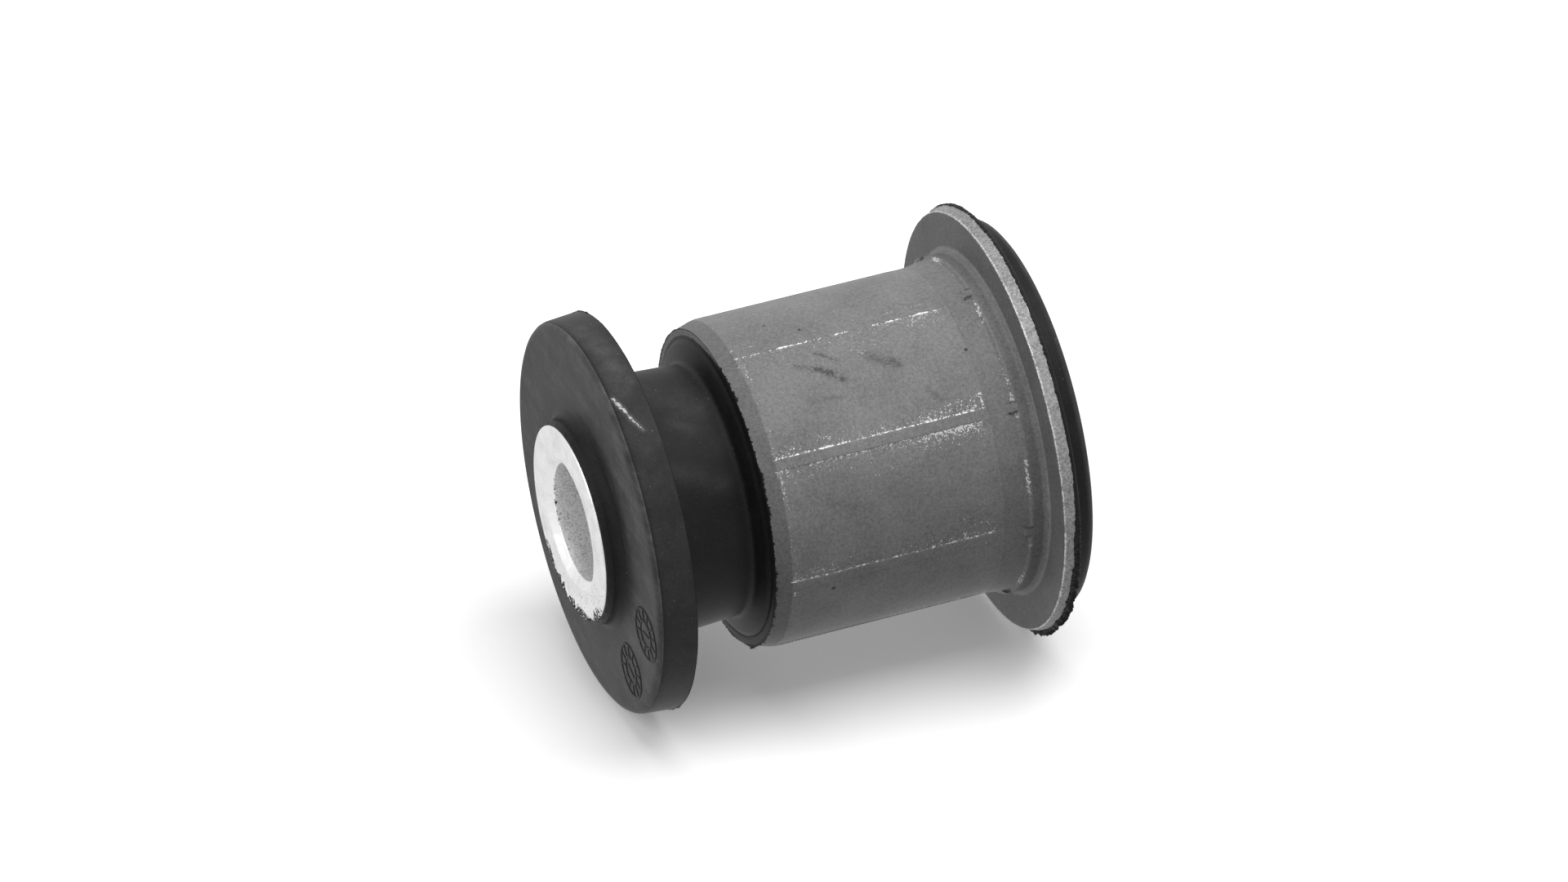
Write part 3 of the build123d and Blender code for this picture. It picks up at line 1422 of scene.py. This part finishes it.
        # Painted shadow along both edges of each bridge
        beside = bell(gaps.away, self.gap_width / 2, self.bridge_shadow_width)
        crossing = smooth_step(height, self.jaw_end - 0.35, self.jaw_end)
        crossing *= 1.0 - smooth_step(height, self.jaw_end + 0.8, self.jaw_end + 1.25)
        bridges = self.bridge_shadow * beside * crossing * (grid.radius > self.radius - 0.2)
        return np.maximum(grid.marks(self.soil, self.radius) * wall, bridges)

    def _burnish_and_highlight(self, grid: Lathe, gaps: Gaps, wall: np.ndarray) -> np.ndarray:
        """Share of the coat worn bright at each point, with the painted root highlight.

        Args:
            grid: the sleeve's grid.
            gaps: where its columns lie.
            wall: which points the jaws pressed.

        Returns:
            The share; below zero there is less than the plain coat's own specks.
        """
        height, outside = grid.height, 1.0 - gaps.inside
        foot = self._foot_wear(height, gaps) * (grid.radius > self.radius - self.wall / 2)
        worn = np.maximum(self._wall_wear(grid, gaps) * wall, foot)
        breaks = varied(self.step_breaks, ring_noise(grid.angles, 37, 44))
        step = bell(height, self.jaw_end + 0.14, 0.3) * outside * breaks
        step *= grid.radius > self.radius - 1.0
        return worn + step + self._flange_wear_and_highlight(grid) - self.clear_coat

    def _wall_wear(self, grid: Lathe, gaps: Gaps) -> np.ndarray:
        """Wear on the pressed wall.

        It is a narrow bell curve on each gap's edge, broken by a noise along the
        height, and the marks or a wide bell curve beside the gap, which of the two
        is more.

        Args:
            grid: the sleeve's grid.
            gaps: where its columns lie.

        Returns:
            The wear at each point.
        """
        height = grid.height
        sides = self.line_wear, self.side_wear
        line, beside = (np.array(side)[gaps.number, gaps.upper] for side in sides)
        reach = smooth_step(height, self.flare_top, self.flare_top + 1.5)
        up_wall = np.degrees(height / self.radius) * self.line_turns
        breaks = varied(self.line_breaks, ring_noise(up_wall, 613, 43))
        edge = bell(gaps.away, self.gap_width / 2 + 0.07, self.line_width) * line
        start = self.spread_start
        spread = bell(np.maximum(gaps.away, start), start, self.spread_width)
        thin = 1.0 - (1.0 - self.thinned) * smooth_step(height, *self.thinning)
        marks = np.minimum(grid.marks(self.wear, self.radius), self.mark_limit)
        marks = np.maximum(marks, self.spread_strength * beside * spread * thin * reach)
        return self.line_strength * edge * reach * breaks + marks * (1.0 - gaps.inside)

    def _foot_wear(self, height: np.ndarray, gaps: Gaps) -> np.ndarray:
        """Wear just under the taper, which fades away from each gap.

        Args:
            height: height of each point.
            gaps: where the columns lie.

        Returns:
            The wear at each point.
        """
        away = np.maximum(gaps.away - self.spread_start, 0.0)
        share = varied(self.foot_wear, np.exp(-away / self.foot_reach))
        return bell(height, self.taper_foot - 0.35, 0.3) * share * (1.0 - gaps.inside)

    def _flange_wear_and_highlight(self, grid: Lathe) -> np.ndarray:
        """Bright metal on the sheared rim and its edges; painted highlight at the flange's root.

        Args:
            grid: the sleeve's grid.

        Returns:
            The share at each point.
        """
        radius, height, front = grid.radius, grid.height, self.flange_front
        edges = bell(height, front - 0.1, 0.1) + bell(height, self.flange_rear, 0.12)
        rim = (radius > self.rim_front - 0.12) * varied(self.rim_wear, edges)
        # Painted highlight round the flange's root
        root = bell(radius, self.unpressed + 0.55, 0.14) * (np.abs(height - front) < 0.25)
        return rim + self.root_highlight * root


@dataclass
class RubberBody:
    """Rubber moulding: buffer disc, neck, shoulder in the mouth and rear pad."""

    tube_radius: float = 12.0
    mouth_radius: float = 18.35
    mouth_height: float = 41.25
    flange_rear: float = 5.5
    bend_radius: float = 3.0
    disc_underside: float = 53.0
    disc_face: float = 57.6
    disc_radius: float = 24.3
    disc_draft: float = 0.35
    disc_edge: float = 1.2
    neck_top_radius: float = 16.05
    neck_foot_radius: float = 15.4
    neck_foot: float = 42.4
    neck_fillet: float = 1.2
    collar_top: float = 59.8
    collar_crest: float = 59.1
    collar_film: float = 0.2
    collar_wall: float = 0.5
    collar_foot_fillet: float = 1.2
    shoulder_radius: float = 17.7
    shoulder_height: float = 41.75
    shoulder_fillet: float = 0.7
    pad_face: float = 2.4
    pad_radius: float = 24.2
    pad_edge: float = 1.0
    pad_foot_fillet: float = 0.3
    film_radius: float = 26.0
    film_thickness: float = 0.4
    columns: int = 470
    # Middle and swing of the waves of the collar's lip
    lip_waves: Pair = (0.1, 0.1)
    # Bloom on the disc's face: all over, the share of it beside the collar, and the most
    face_bloom: float = 0.59
    # Less bloom beside the collar paints the shade at its foot
    collar_shade_share: float = 0.3
    bloom_limit: float = 0.88
    # Dust all over the disc's side and the pad, and the most of it
    side_film: float = 0.2
    pad_film: float = 0.3
    dust_limit: float = 0.94
    face_dust: tuple[Rub, ...] = (
        Rub((22.6, -5.7), (17.6, -10.3), 0.4, 0.6),
        Rub((21.4, -8.6), (15.5, -17.7), 0.45, 0.55),
        Rub((20.9, -9.6), (14.4, -16.4), 1.2, 0.35),
        Rub((-13.0, -13.0), (-17.5, -4.0), 4.0, 0.3),
        Rub((14.4, -16.4), (9.5, -20.3), 1.3, 0.45),
        Rub((9.5, -20.3), (-9.1, -19.6), 1.2, 0.35),
        Rub((17.8, 13.6), (11.6, 13.3), 0.5, 0.7),
        Rub((16.6, 12.2), (10.6, 12.0), 0.35, 0.7),
        Rub((19.0, 2.0), (14.0, 1.0), 2.2, 0.3),
        Rub((17.0, -6.0), (14.5, -9.5), 1.6, 0.3),
        Rub((-12.0, 18.0), (-20.0, 6.0), 2.5, 0.15),
        Rub((-4.0, 19.0), (4.0, 20.0), 1.5, 0.3),
    )
    side_dust: tuple[Rub, ...] = (
        Rub((-53.1, 56.77), (-57.0, 56.14), 0.27, 1.9),
        Rub((-57.0, 56.14), (-61.5, 55.49), 0.22, 1.9),
        Rub((-61.5, 55.49), (-65.1, 54.69), 0.22, 1.6),
        Rub((-20.0, 55.5), (-50.0, 55.0), 1.5, 0.3),
        Rub((120.0, 55.0), (150.0, 55.5), 1.4, 0.35),
    )
    neck_dust: tuple[Rub, ...] = (
        Rub((-30.0, 50.5), (-45.0, 45.5), 2.4, 0.25),
        Rub((-52.0, 48.5), (-58.0, 46.5), 0.9, 0.2),
        Rub((-75.0, 50.0), (-85.0, 45.0), 1.2, 0.18),
        Rub((80.0, 50.0), (100.0, 46.0), 2.0, 0.3),
    )

    def _outline(self) -> np.ndarray:
        """Outline of the moulding, up the inner sleeve and down its outer side.

        Returns:
            Array of (radius, height) rows.
        """
        collar = self.tube_radius + self.collar_wall
        collar_foot = collar + self.collar_film
        film_rear = self.flange_rear - self.film_thickness
        return rounded_outline(
            [
                Corner(self.tube_radius, self.pad_face, 0.02, 6.0),
                Corner(self.tube_radius, self.collar_top, 0.02, 0.2),
                Corner(self.tube_radius + self.collar_film, self.collar_top, 0.05, 0.2),
                Corner(collar, self.collar_crest, 0.3, 0.3),
                Corner(collar_foot, self.disc_face, self.collar_foot_fillet, 0.3),
                Corner(self.disc_radius - self.disc_draft, self.disc_face, self.disc_edge, 0.35),
                Corner(self.disc_radius, self.disc_underside, 0.05, 0.6),
                Corner(self.neck_top_radius, self.disc_underside, self.neck_fillet, 0.45),
                Corner(self.neck_foot_radius, self.neck_foot, self.shoulder_fillet, 0.3),
                Corner(self.shoulder_radius, self.shoulder_height, self.shoulder_fillet, 0.3),
                Corner(self.mouth_radius, self.mouth_height, 0.05, 6.0),
                Corner(self.mouth_radius, self.flange_rear, self.bend_radius, 4.0),
                Corner(self.film_radius, self.flange_rear, 0.05, 0.2),
                Corner(self.film_radius, film_rear, 0.1, 0.4),
                Corner(self.pad_radius, film_rear, self.pad_foot_fillet, 0.4),
                Corner(self.pad_radius, self.pad_face, self.pad_edge, 0.8),
            ]
        )

    def build(self, material: bpy.types.Material) -> list[bpy.types.Object]:
        """Makes the moulding, which stands for the solid.

        The collar's lip is lowered by a ring noise.

        Args:
            material: the rubber's finish.

        Returns:
            The moulding.
        """
        grid = Lathe.around(self._outline(), even_angles(self.columns))
        lip = smooth_step(grid.height, self.collar_crest + 0.3, self.collar_top)
        lip *= grid.radius > self.tube_radius + 0.05
        waves = varied(self.lip_waves, ring_noise(grid.angles, 130, 51))
        grid.height = grid.height - lip * waves
        piece = grid_mesh("rubber_moulding", grid.surface())
        paint(piece, Field.BLOOM_AND_SHADE, self._bloom_and_shade(grid))
        paint(piece, Field.DUST, self._dust(grid))
        piece.data.materials.append(material)
        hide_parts("rubber_body")
        return [piece]

    def _bloom_and_shade(self, grid: Lathe) -> np.ndarray:
        """Pale bloom on the disc's face, thinner beside the collar as painted shade at its foot.

        Args:
            grid: the moulding's grid.

        Returns:
            Its share at each point.
        """
        x, y, _ = np.moveaxis(grid.surface(), -1, 0)
        marks = sum(rub.on_face(x, y) for rub in self.face_dust)
        # Thinner bloom beside the collar paints the shade at its foot
        clear = smooth_step(grid.radius, self.tube_radius + 1.8, self.tube_radius + 5.0)
        clear = varied((self.collar_shade_share, 1.0 - self.collar_shade_share), clear)
        face = grid.height > self.disc_face - self.disc_edge
        face &= grid.radius > self.tube_radius + 1.5
        return face * np.minimum(self.face_bloom * clear + marks, self.bloom_limit)

    def _dust(self, grid: Lathe) -> np.ndarray:
        """Dust and scuffs on the disc's side, the neck and the pad.

        Args:
            grid: the moulding's grid.

        Returns:
            Their share at each point.
        """
        radius, height = grid.radius, grid.height
        side = 1.0 - smooth_step(height, self.disc_face - 0.9, self.disc_face - 0.4)
        side *= (radius > self.disc_radius - 1.5) & (height > self.disc_underside)
        neck = (height < self.disc_underside) & (height > self.neck_foot)
        neck &= radius < self.shoulder_radius
        pad = (height < self.pad_face + self.pad_edge) & (radius > self.tube_radius + 0.5)
        dust = side * (self.side_film + grid.marks(self.side_dust, self.disc_radius))
        dust += neck * grid.marks(self.neck_dust, self.neck_foot_radius)
        return np.minimum(dust + self.pad_film * pad, self.dust_limit)


@dataclass
class Flash:
    """Thin rubber that ran out between the mould and the steel, and tore.

    A film's section is a table with a row for each of its points: how far the point
    is from a corner in radius and in height, each as a fixed distance and how much
    it moves with each tear.
    """

    columns: int = 1440
    # How thick a film is at its torn edge, beside its root
    edge_share: float = 0.25
    mouth_corner: Pair = (19.4, 41.25)
    # The film over the mouth: where it starts, how thick it stands there and at its
    # torn edge, how far it sinks into the steel, and how steeply it falls past the
    # corner. It reaches past the corner, and is drawn back on its bare arc, by a
    # fixed distance and one that grows with the tear.
    mouth_start: float = 18.2
    mouth_thick: float = 0.1
    mouth_thinning: Pair = (1.0, -0.5)
    mouth_sunk: float = 0.06
    mouth_fall: float = 1.2
    mouth_reach: Pair = (-0.06, 0.34)
    mouth_drawn: Pair = (0.86, 0.1)
    mouth_bare: Arc = Arc(-35.0, 80.0, 26.0)
    mouth_points: tuple[float, ...] = (0.0, 0.4, 0.7, 0.9, 1.0)
    # The ridge on the mouth's corner: how tall, how that waves, and its one big blob
    ridge_thick: float = 0.09
    ridge_tall: Pair = (0.05, 0.2)
    ridge_waves: Pair = (0.6, 0.5)
    ridge_least: float = 0.02
    ridge_blob: Arc = Arc(176.0, 186.0, 6.0, 0.35)
    ridge_section: Section = (
        ((-0.12,), (-0.05,)),
        ((-0.06, 0.3), (0.0, 0.4)),
        ((-0.04, 0.7), (0.0, 0.6)),
        ((-0.02, 1.0), (0.0, 0.5)),
    )
    # The film behind the flange: its low arc tore from the gate, its high one less.
    # The first tear stands out past the rim and the second laps over it, and each
    # has its amounts for the whole ring and for both arcs.
    rim_corner: Pair = (26.3, 5.5)
    rim_thick: float = 0.16
    rim_low: Arc = Arc(-190.0, -118.0, 24.0)
    rim_high: Arc = Arc(-25.0, 12.0, 16.0)
    out_ring: Pair = (0.05, 0.12)
    out_low: Pair = (0.06, 0.22)
    out_high: float = 0.16
    over_ring: Pair = (0.05, 0.16)
    over_low: Pair = (0.25, 0.25)
    over_high: float = 0.05
    # Size and sharpness of the single teeth on the low arc
    teeth: float = 0.6
    teeth_power: float = 2.6
    rim_section: Section = (
        ((-1.1,), (-0.38,)),
        ((-0.1,), (-0.36, -0.1)),
        ((-0.02, 0.8), (-0.25,)),
        ((-0.02, 1.0), (-0.02, 0.0, 0.25)),
        ((0.0, 0.6, -0.1), (0.0, 0.0, 0.7)),
        ((-0.06, 0.15, -0.3), (0.0, 0.0, 1.0)),
    )
    # The fin on the disc, and its two flakes
    disc_corner: Pair = (24.3, 53.0)
    fin_thick: float = 0.07
    fin_out: Pair = (0.02, 0.06)
    fin_flakes: tuple[Arc, ...] = (Arc(-182.0, -168.0, 5.0, 0.22), Arc(-9.0, 1.0, 4.0, 0.176))
    fin_section: Section = (
        ((-0.3,), (0.03,)),
        ((-0.02,), (0.03,)),
        ((0.0, 0.6), (0.02,)),
        ((0.0, 1.0), (0.0, 0.1)),
    )

    @staticmethod
    def _line(corner: Pair, section: Section, *tears: np.ndarray) -> list[Line]:
        """Points of a section for each column.

        Args:
            corner: radius and height that the section is measured from.
            section: the table of its points.
            tears: size of each tear in each column.

        Returns:
            Radius and height of each point.
        """
        return [
            tuple(
                start + fixed + sum(share * tear for share, tear in zip(shares, tears))
                for start, (fixed, *shares) in zip(corner, row)
            )
            for row in section
        ]

    def _ribbon(self, name: str, line: Sequence[Line], thick: float) -> bpy.types.Object:
        """Makes a closed thin ring.

        It is a line of points for each column, and the same line moved back by the
        thickness along its own left side, which thins out towards the torn edge.

        Args:
            name: name of the piece.
            line: radius and height of each point, alike for all columns or not.
            thick: thickness at the line's start; below zero it goes to the right.

        Returns:
            The ring.
        """
        angles = even_angles(self.columns)
        rows = [np.broadcast_arrays(radius, height, angles)[:2] for radius, height in line]
        front = np.stack([np.stack(row, axis=-1) for row in rows])
        along = np.gradient(front, axis=0)
        along /= np.maximum(np.linalg.norm(along, axis=-1, keepdims=True), 1e-9)
        side = np.stack([-along[..., 1], along[..., 0]], axis=-1)
        share = np.linspace(1.0, self.edge_share, len(line))[:, None, None]
        ring = np.concatenate([front + side * share * thick, front[::-1]])
        return grid_mesh(name, Lathe(ring[..., 0], ring[..., 1], angles).surface())

    def mouth_film(self) -> bpy.types.Object:
        """Film over the end of the outer sleeve.

        It is narrow at the bare arc, and elsewhere reaches over the corner, past
        which it falls on to the taper.

        Returns:
            The film.
        """
        angles = even_angles(self.columns)
        corner, height = self.mouth_corner
        ragged = torn(angles, 61)
        drawn = self.mouth_bare.window(angles) * varied(self.mouth_drawn, ragged)
        reach = corner + varied(self.mouth_reach, ragged) - drawn
        line = []
        for part in self.mouth_points:
            radius = self.mouth_start + (reach - self.mouth_start) * part
            fall = np.maximum(radius - corner, 0.0) * self.mouth_fall
            thick = self.mouth_thick * varied(self.mouth_thinning, part)
            line.append((radius, height + thick - fall))
        return self._ribbon("mouth_film", line, -(self.mouth_thick + self.mouth_sunk))

    def mouth_ridge(self) -> bpy.types.Object:
        """Torn ridge that stands on the corner of the end face.

        Returns:
            The ridge.
        """
        angles = even_angles(self.columns)
        waves = varied(self.ridge_waves, ring_noise(angles, 60, 66))
        tall = varied(self.ridge_tall, torn(angles, 65) * waves)
        tall = np.maximum(tall, self.ridge_least)
        tall += self.ridge_blob.window(angles) * torn(angles, 67)
        line = self._line(self.mouth_corner, self.ridge_section, tall)
        return self._ribbon("mouth_ridge", line, -self.ridge_thick)

    def rim_film(self) -> bpy.types.Object:
        """Film behind the flange, torn most where the bush left the mould's gate.

        How far it stands out and how far it laps over the rim are sums of torn
        noises, with single long teeth on the low arc.

        Returns:
            The film.
        """
        angles = even_angles(self.columns)
        low, high = self.rim_low.window(angles), self.rim_high.window(angles)
        ragged = torn(angles, 71)
        out = varied(self.out_ring, ragged) + varied(self.out_low, torn(angles, 73)) * low
        out += self.out_high * high * torn(angles, 75)
        out += self.teeth * low * np.abs(ring_noise(angles, 719, 79)) ** self.teeth_power
        over = varied(self.over_ring, ragged) + varied(self.over_low, torn(angles, 77)) * low
        over += self.over_high * high
        line = self._line(self.rim_corner, self.rim_section, out, over)
        return self._ribbon("rim_film", line, self.rim_thick)

    def disc_fin(self) -> bpy.types.Object:
        """Thin fin on the parting plane, at the sharp edge of the buffer disc.

        Returns:
            The fin.
        """
        angles = even_angles(self.columns)
        flakes = sum(flake.window(angles) for flake in self.fin_flakes)
        out = varied(self.fin_out, torn(angles, 81)) + flakes * torn(angles, 83)
        line = self._line(self.disc_corner, self.fin_section, out)
        return self._ribbon("disc_fin", line, -self.fin_thick)

    def build(self, material: bpy.types.Material) -> list[bpy.types.Object]:
        """Makes every torn film.

        Args:
            material: the rubber's finish.

        Returns:
            The films.
        """
        pieces = [self.mouth_film(), self.mouth_ridge(), self.rim_film(), self.disc_fin()]
        for piece in pieces:
            piece.data.materials.append(material)
        return pieces


@dataclass(frozen=True)
class DateDial:
    """A plain mould dial on the disc's face: two rings with ticks between them."""

    name: str
    radius: float
    azimuth: float
    face: float = 57.6
    inner_ring: float = 1.7
    outer_ring: float = 3.3
    ticks: int = 12
    bar_length: float = 1.1
    bar_turn: float = 20.0
    # The beads' radius, how tall they are beside it, and how thick a bar is
    bead: float = 0.17
    tall: float = 0.7
    bar_share: float = 0.9
    around: int = 72
    section: int = 8
    # Share of a bar's length, and its thickness there
    bar_rings: tuple[Pair, ...] = (
        (0.0, 0.4),
        (0.03, 0.8),
        (0.12, 1.0),
        (0.88, 1.0),
        (0.97, 0.8),
        (1.0, 0.4),
    )

    def _centre(self) -> np.ndarray:
        """Middle of the dial on the face."""
        a = np.radians(self.azimuth)
        return np.array([self.radius * np.cos(a), self.radius * np.sin(a), self.face])

    def _quads(self, rows: int) -> np.ndarray:
        """Quads between rings of points, the last row of which joins the first."""
        return np.roll(closed_quads(rows, self.section)[..., ::-1], 1, axis=-1)

    def _ring(self, radius: float) -> Faces:
        """A torus: a low circle of the bead's radius carried round a circle.

        Args:
            radius: radius of the circle that it is carried round.

        Returns:
            Its points and quads.
        """
        around = np.radians(even_angles(self.around))[:, None]
        section = np.radians(even_angles(self.section))[None, :]
        out = radius + self.bead * np.cos(section)
        up = self.bead * self.tall * np.sin(section) + 0 * around
        points = np.stack([out * np.cos(around), out * np.sin(around), up], axis=-1)
        return points.reshape(-1, 3), self._quads(self.around).reshape(-1, 4)

    def _bar(self, turn: float, start: float, end: float) -> Faces:
        """A rod along a radius of the dial: rings that shrink towards both ends, each
        closed by three quads.

        Args:
            turn: the radius's angle, in degrees.
            start: distance of its start from the dial's middle.
            end: distance of its end.

        Returns:
            Its points and quads.
        """
        share, thick = np.array(self.bar_rings).T[..., None]
        thick = thick * self.bead * self.bar_share
        section = np.radians(even_angles(self.section))[None, :]
        along = start + (end - start) * share + 0 * section
        side, up = thick * np.cos(section), thick * self.tall * np.sin(section)
        c, s = np.cos(np.radians(turn)), np.sin(np.radians(turn))
        points = np.stack([along * c - side * s, along * s + side * c, up], axis=-1)
        rings = len(self.bar_rings)
        cap = np.array([(0, 1, 2, 3), (0, 3, 4, 7), (4, 5, 6, 7)])
        far_cap = cap[:, ::-1] + (rings - 1) * self.section
        quads = self._quads(rings)[:-1].reshape(-1, 4)
        return points.reshape(-1, 3), np.concatenate([quads, cap, far_cap])

    def build(self, material: bpy.types.Material) -> list[bpy.types.Object]:
        """Makes the dial as one piece.

        Args:
            material: the rubber's finish.

        Returns:
            The dial.
        """
        parts = [self._ring(self.inner_ring), self._ring(self.outer_ring)]
        turns = self.azimuth + even_angles(self.ticks)
        parts += [self._bar(turn, self.inner_ring, self.outer_ring - 0.1) for turn in turns]
        parts.append(self._bar(self.azimuth + self.bar_turn, -self.bar_length, self.bar_length))
        starts = np.cumsum([0] + [len(points) for points, _ in parts[:-1]])
        points = np.concatenate([points for points, _ in parts]) + self._centre()
        quads = np.concatenate([quads + start for (_, quads), start in zip(parts, starts)])
        piece = face_mesh(self.name, points, quads)
        piece.data.materials.append(material)
        return [piece]


# --------------------------------------------------------------------- studio
@dataclass(frozen=True)
class Camera:
    """A long lens that looks down on the bush as it lies on its side."""

    eye: Triple = (96.64, -1315.56, 423.86)
    right: Triple = (-0.221168, -0.292929, -0.930203)
    up: Triple = (0.972879, 0.0, -0.231315)
    lens: float = 264.65
    sensor: float = 36.0
    clip: Pair = (0.05, 20.0)

    def build(self) -> None:
        """Makes the camera and gives it to the scene."""
        data = bpy.data.cameras.new("camera")
        data.lens, data.sensor_width, data.sensor_fit = self.lens, self.sensor, "HORIZONTAL"
        data.clip_start, data.clip_end = self.clip
        camera = bpy.data.objects.new("camera", data)
        bpy.context.scene.collection.objects.link(camera)
        right, up = Vector(self.right), Vector(self.up)
        axes = Matrix((right, up, right.cross(up))).transposed()
        camera.matrix_world = Matrix.Translation(Vector(self.eye) * MM) @ axes.to_4x4()
        bpy.context.scene.camera = camera


@dataclass(frozen=True)
class Lamp:
    """A square soft lamp aimed at the bush, placed in the studio's own axes.

    Its level is the share of full white that it gives a sheet facing it.
    """

    name: str
    away: Triple
    size: float
    level: float

    def build(self, axes: Matrix, target: Vector) -> None:
        """Makes the lamp.

        Args:
            axes: the studio's axes, as columns.
            target: the point that it is aimed at, in millimetres.
        """
        data = bpy.data.lights.new(self.name, "AREA")
        data.shape, data.size = "SQUARE", self.size * MM
        away = axes @ Vector(self.away)
        data.energy = self.level * (np.pi * away.length * MM) ** 2
        made = bpy.data.objects.new(self.name, data)
        made.location = (target + away) * MM
        made.rotation_euler = away.to_track_quat("Z", "Y").to_euler()
        made.visible_camera = False
        bpy.context.scene.collection.objects.link(made)


@dataclass(frozen=True)
class Studio:
    """White floor under the disc's rim and the flange's rim, with soft light."""

    # Height and radius of both rims that touch the floor
    flange_rim: Pair = (5.5, 26.3)
    disc_rim: Pair = (53.0, 24.3)
    middle: Triple = (0.0, 0.0, 30.0)
    roll: float = -30.9
    floor_size: float = 6.0
    world_level: float = 0.26
    floor_gain: float = 1.25
    floor_glow: float = 0.17
    # Each is placed to the right along the floor, away from the camera, and up
    lamps: tuple[Lamp, ...] = (
        Lamp("lamp_over", (200.0, -60.0, 1000.0), 900.0, 0.7),
        Lamp("lamp_front", (-900.0, -500.0, 900.0), 900.0, 0.2),
    )

    def axes(self) -> Matrix:
        """The studio's axes, square to the floor that both rims touch.

        Returns:
            Columns: to the right along the floor, away from the camera, and up.
        """
        (low, wide), (high, narrow) = self.flange_rim, self.disc_rim
        tilt, roll = np.arctan2(wide - narrow, high - low), np.radians(self.roll)
        up = Vector((np.cos(roll) * np.cos(tilt), np.sin(roll) * np.cos(tilt), -np.sin(tilt)))
        right = Vector(Camera.right)
        right = (right - up * right.dot(up)).normalized()
        return Matrix((right, up.cross(right), up)).transposed()

    def touching(self) -> Vector:
        """Point where the flange's rim touches the floor, in millimetres."""
        height, radius = self.flange_rim
        roll = np.radians(self.roll)
        return Vector((-np.cos(roll) * radius, -np.sin(roll) * radius, height))

    def build(self) -> None:
        """Makes the floor, the world and the lamps."""
        axes = self.axes()
        self._floor(axes)
        self._world()
        for lamp in self.lamps:
            lamp.build(axes, Vector(self.middle))

    def _floor(self, axes: Matrix) -> None:
        """Makes a white sheet that only its upper side shows to the camera.

        Args:
            axes: the studio's axes, as columns.
        """
        half = self.floor_size / 2
        right, back, _ = (Vector(column) for column in axes.transposed())
        origin, signs = self.touching() * MM, ((-1, -1), (1, -1), (1, 1), (-1, 1))
        corners = [tuple(origin + right * half * x + back * half * y) for x, y in signs]
        mesh = bpy.data.meshes.new("floor")
        mesh.from_pydata(corners, [], [(0, 1, 2, 3)])
        floor = bpy.data.objects.new("floor", mesh)
        bpy.context.scene.collection.objects.link(floor)
        material = bpy.data.materials.new("floor_white")
        material.use_nodes = True
        g = Graph(material.node_tree)
        colour = (self.floor_gain, self.floor_gain, self.floor_gain, 1.0)
        sheet = g.node("ShaderNodeBsdfDiffuse", {"Color": colour})[0]
        glow = g.node("ShaderNodeEmission", {"Strength": self.floor_glow})[0]
        bright = g.node("ShaderNodeAddShader", {0: sheet, 1: glow})[0]
        clear = g.node("ShaderNodeBsdfTransparent")[0]
        front = g.less(1.0, g.node("ShaderNodeNewGeometry")["Backfacing"])
        shown = g.product(g.node("ShaderNodeLightPath")["Is Camera Ray"], front)
        mixed = g.node("ShaderNodeMixShader", {0: shown, 1: clear, 2: bright})[0]
        g.node("ShaderNodeOutputMaterial", {"Surface": mixed})
        mesh.materials.append(material)

    def _world(self) -> None:
        """White to the camera and in reflections, and a plain fill light otherwise."""
        world = bpy.data.worlds.new("studio")
        world.use_nodes = True
        g = Graph(world.node_tree)
        light = g.node("ShaderNodeLightPath")
        rays = ("Is Camera Ray", "Is Glossy Ray", "Is Transmission Ray")
        shown = g.highest(*(light[ray] for ray in rays))
        level = g.blend(shown, self.world_level, 1.0)
        white = {"Strength": level, "Color": (1.0, 1.0, 1.0, 1.0)}
        g.node("ShaderNodeOutputWorld", {"Surface": g.node("ShaderNodeBackground", white)[0]})
        bpy.context.scene.world = world


def main() -> None:
    """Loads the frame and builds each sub-assembly."""
    logging.basicConfig(level=logging.INFO, format="%(name)s: %(message)s")
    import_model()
    bpy.context.scene.view_settings.view_transform = "Standard"
    Camera().build()
    Studio().build()
    effects = Effects()
    rubber = RubberFinish().build(effects)
    pieces = InnerSleeve().build(MachinedSteelFinish().build(effects))
    pieces += OuterSleeve().build(CoatedSteelFinish().build(effects))
    pieces += RubberBody().build(rubber)
    pieces += Flash().build(rubber)
    pieces += DateDial("date_dial_upper", 19.46, -135.5).build(rubber)
    pieces += DateDial("date_dial_lower", 18.82, -168.0).build(rubber)
    for piece in pieces:
        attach(piece, "root")
        log.info("%s: %d faces", piece.name, len(piece.data.polygons))


if __name__ == "__main__":
    main()
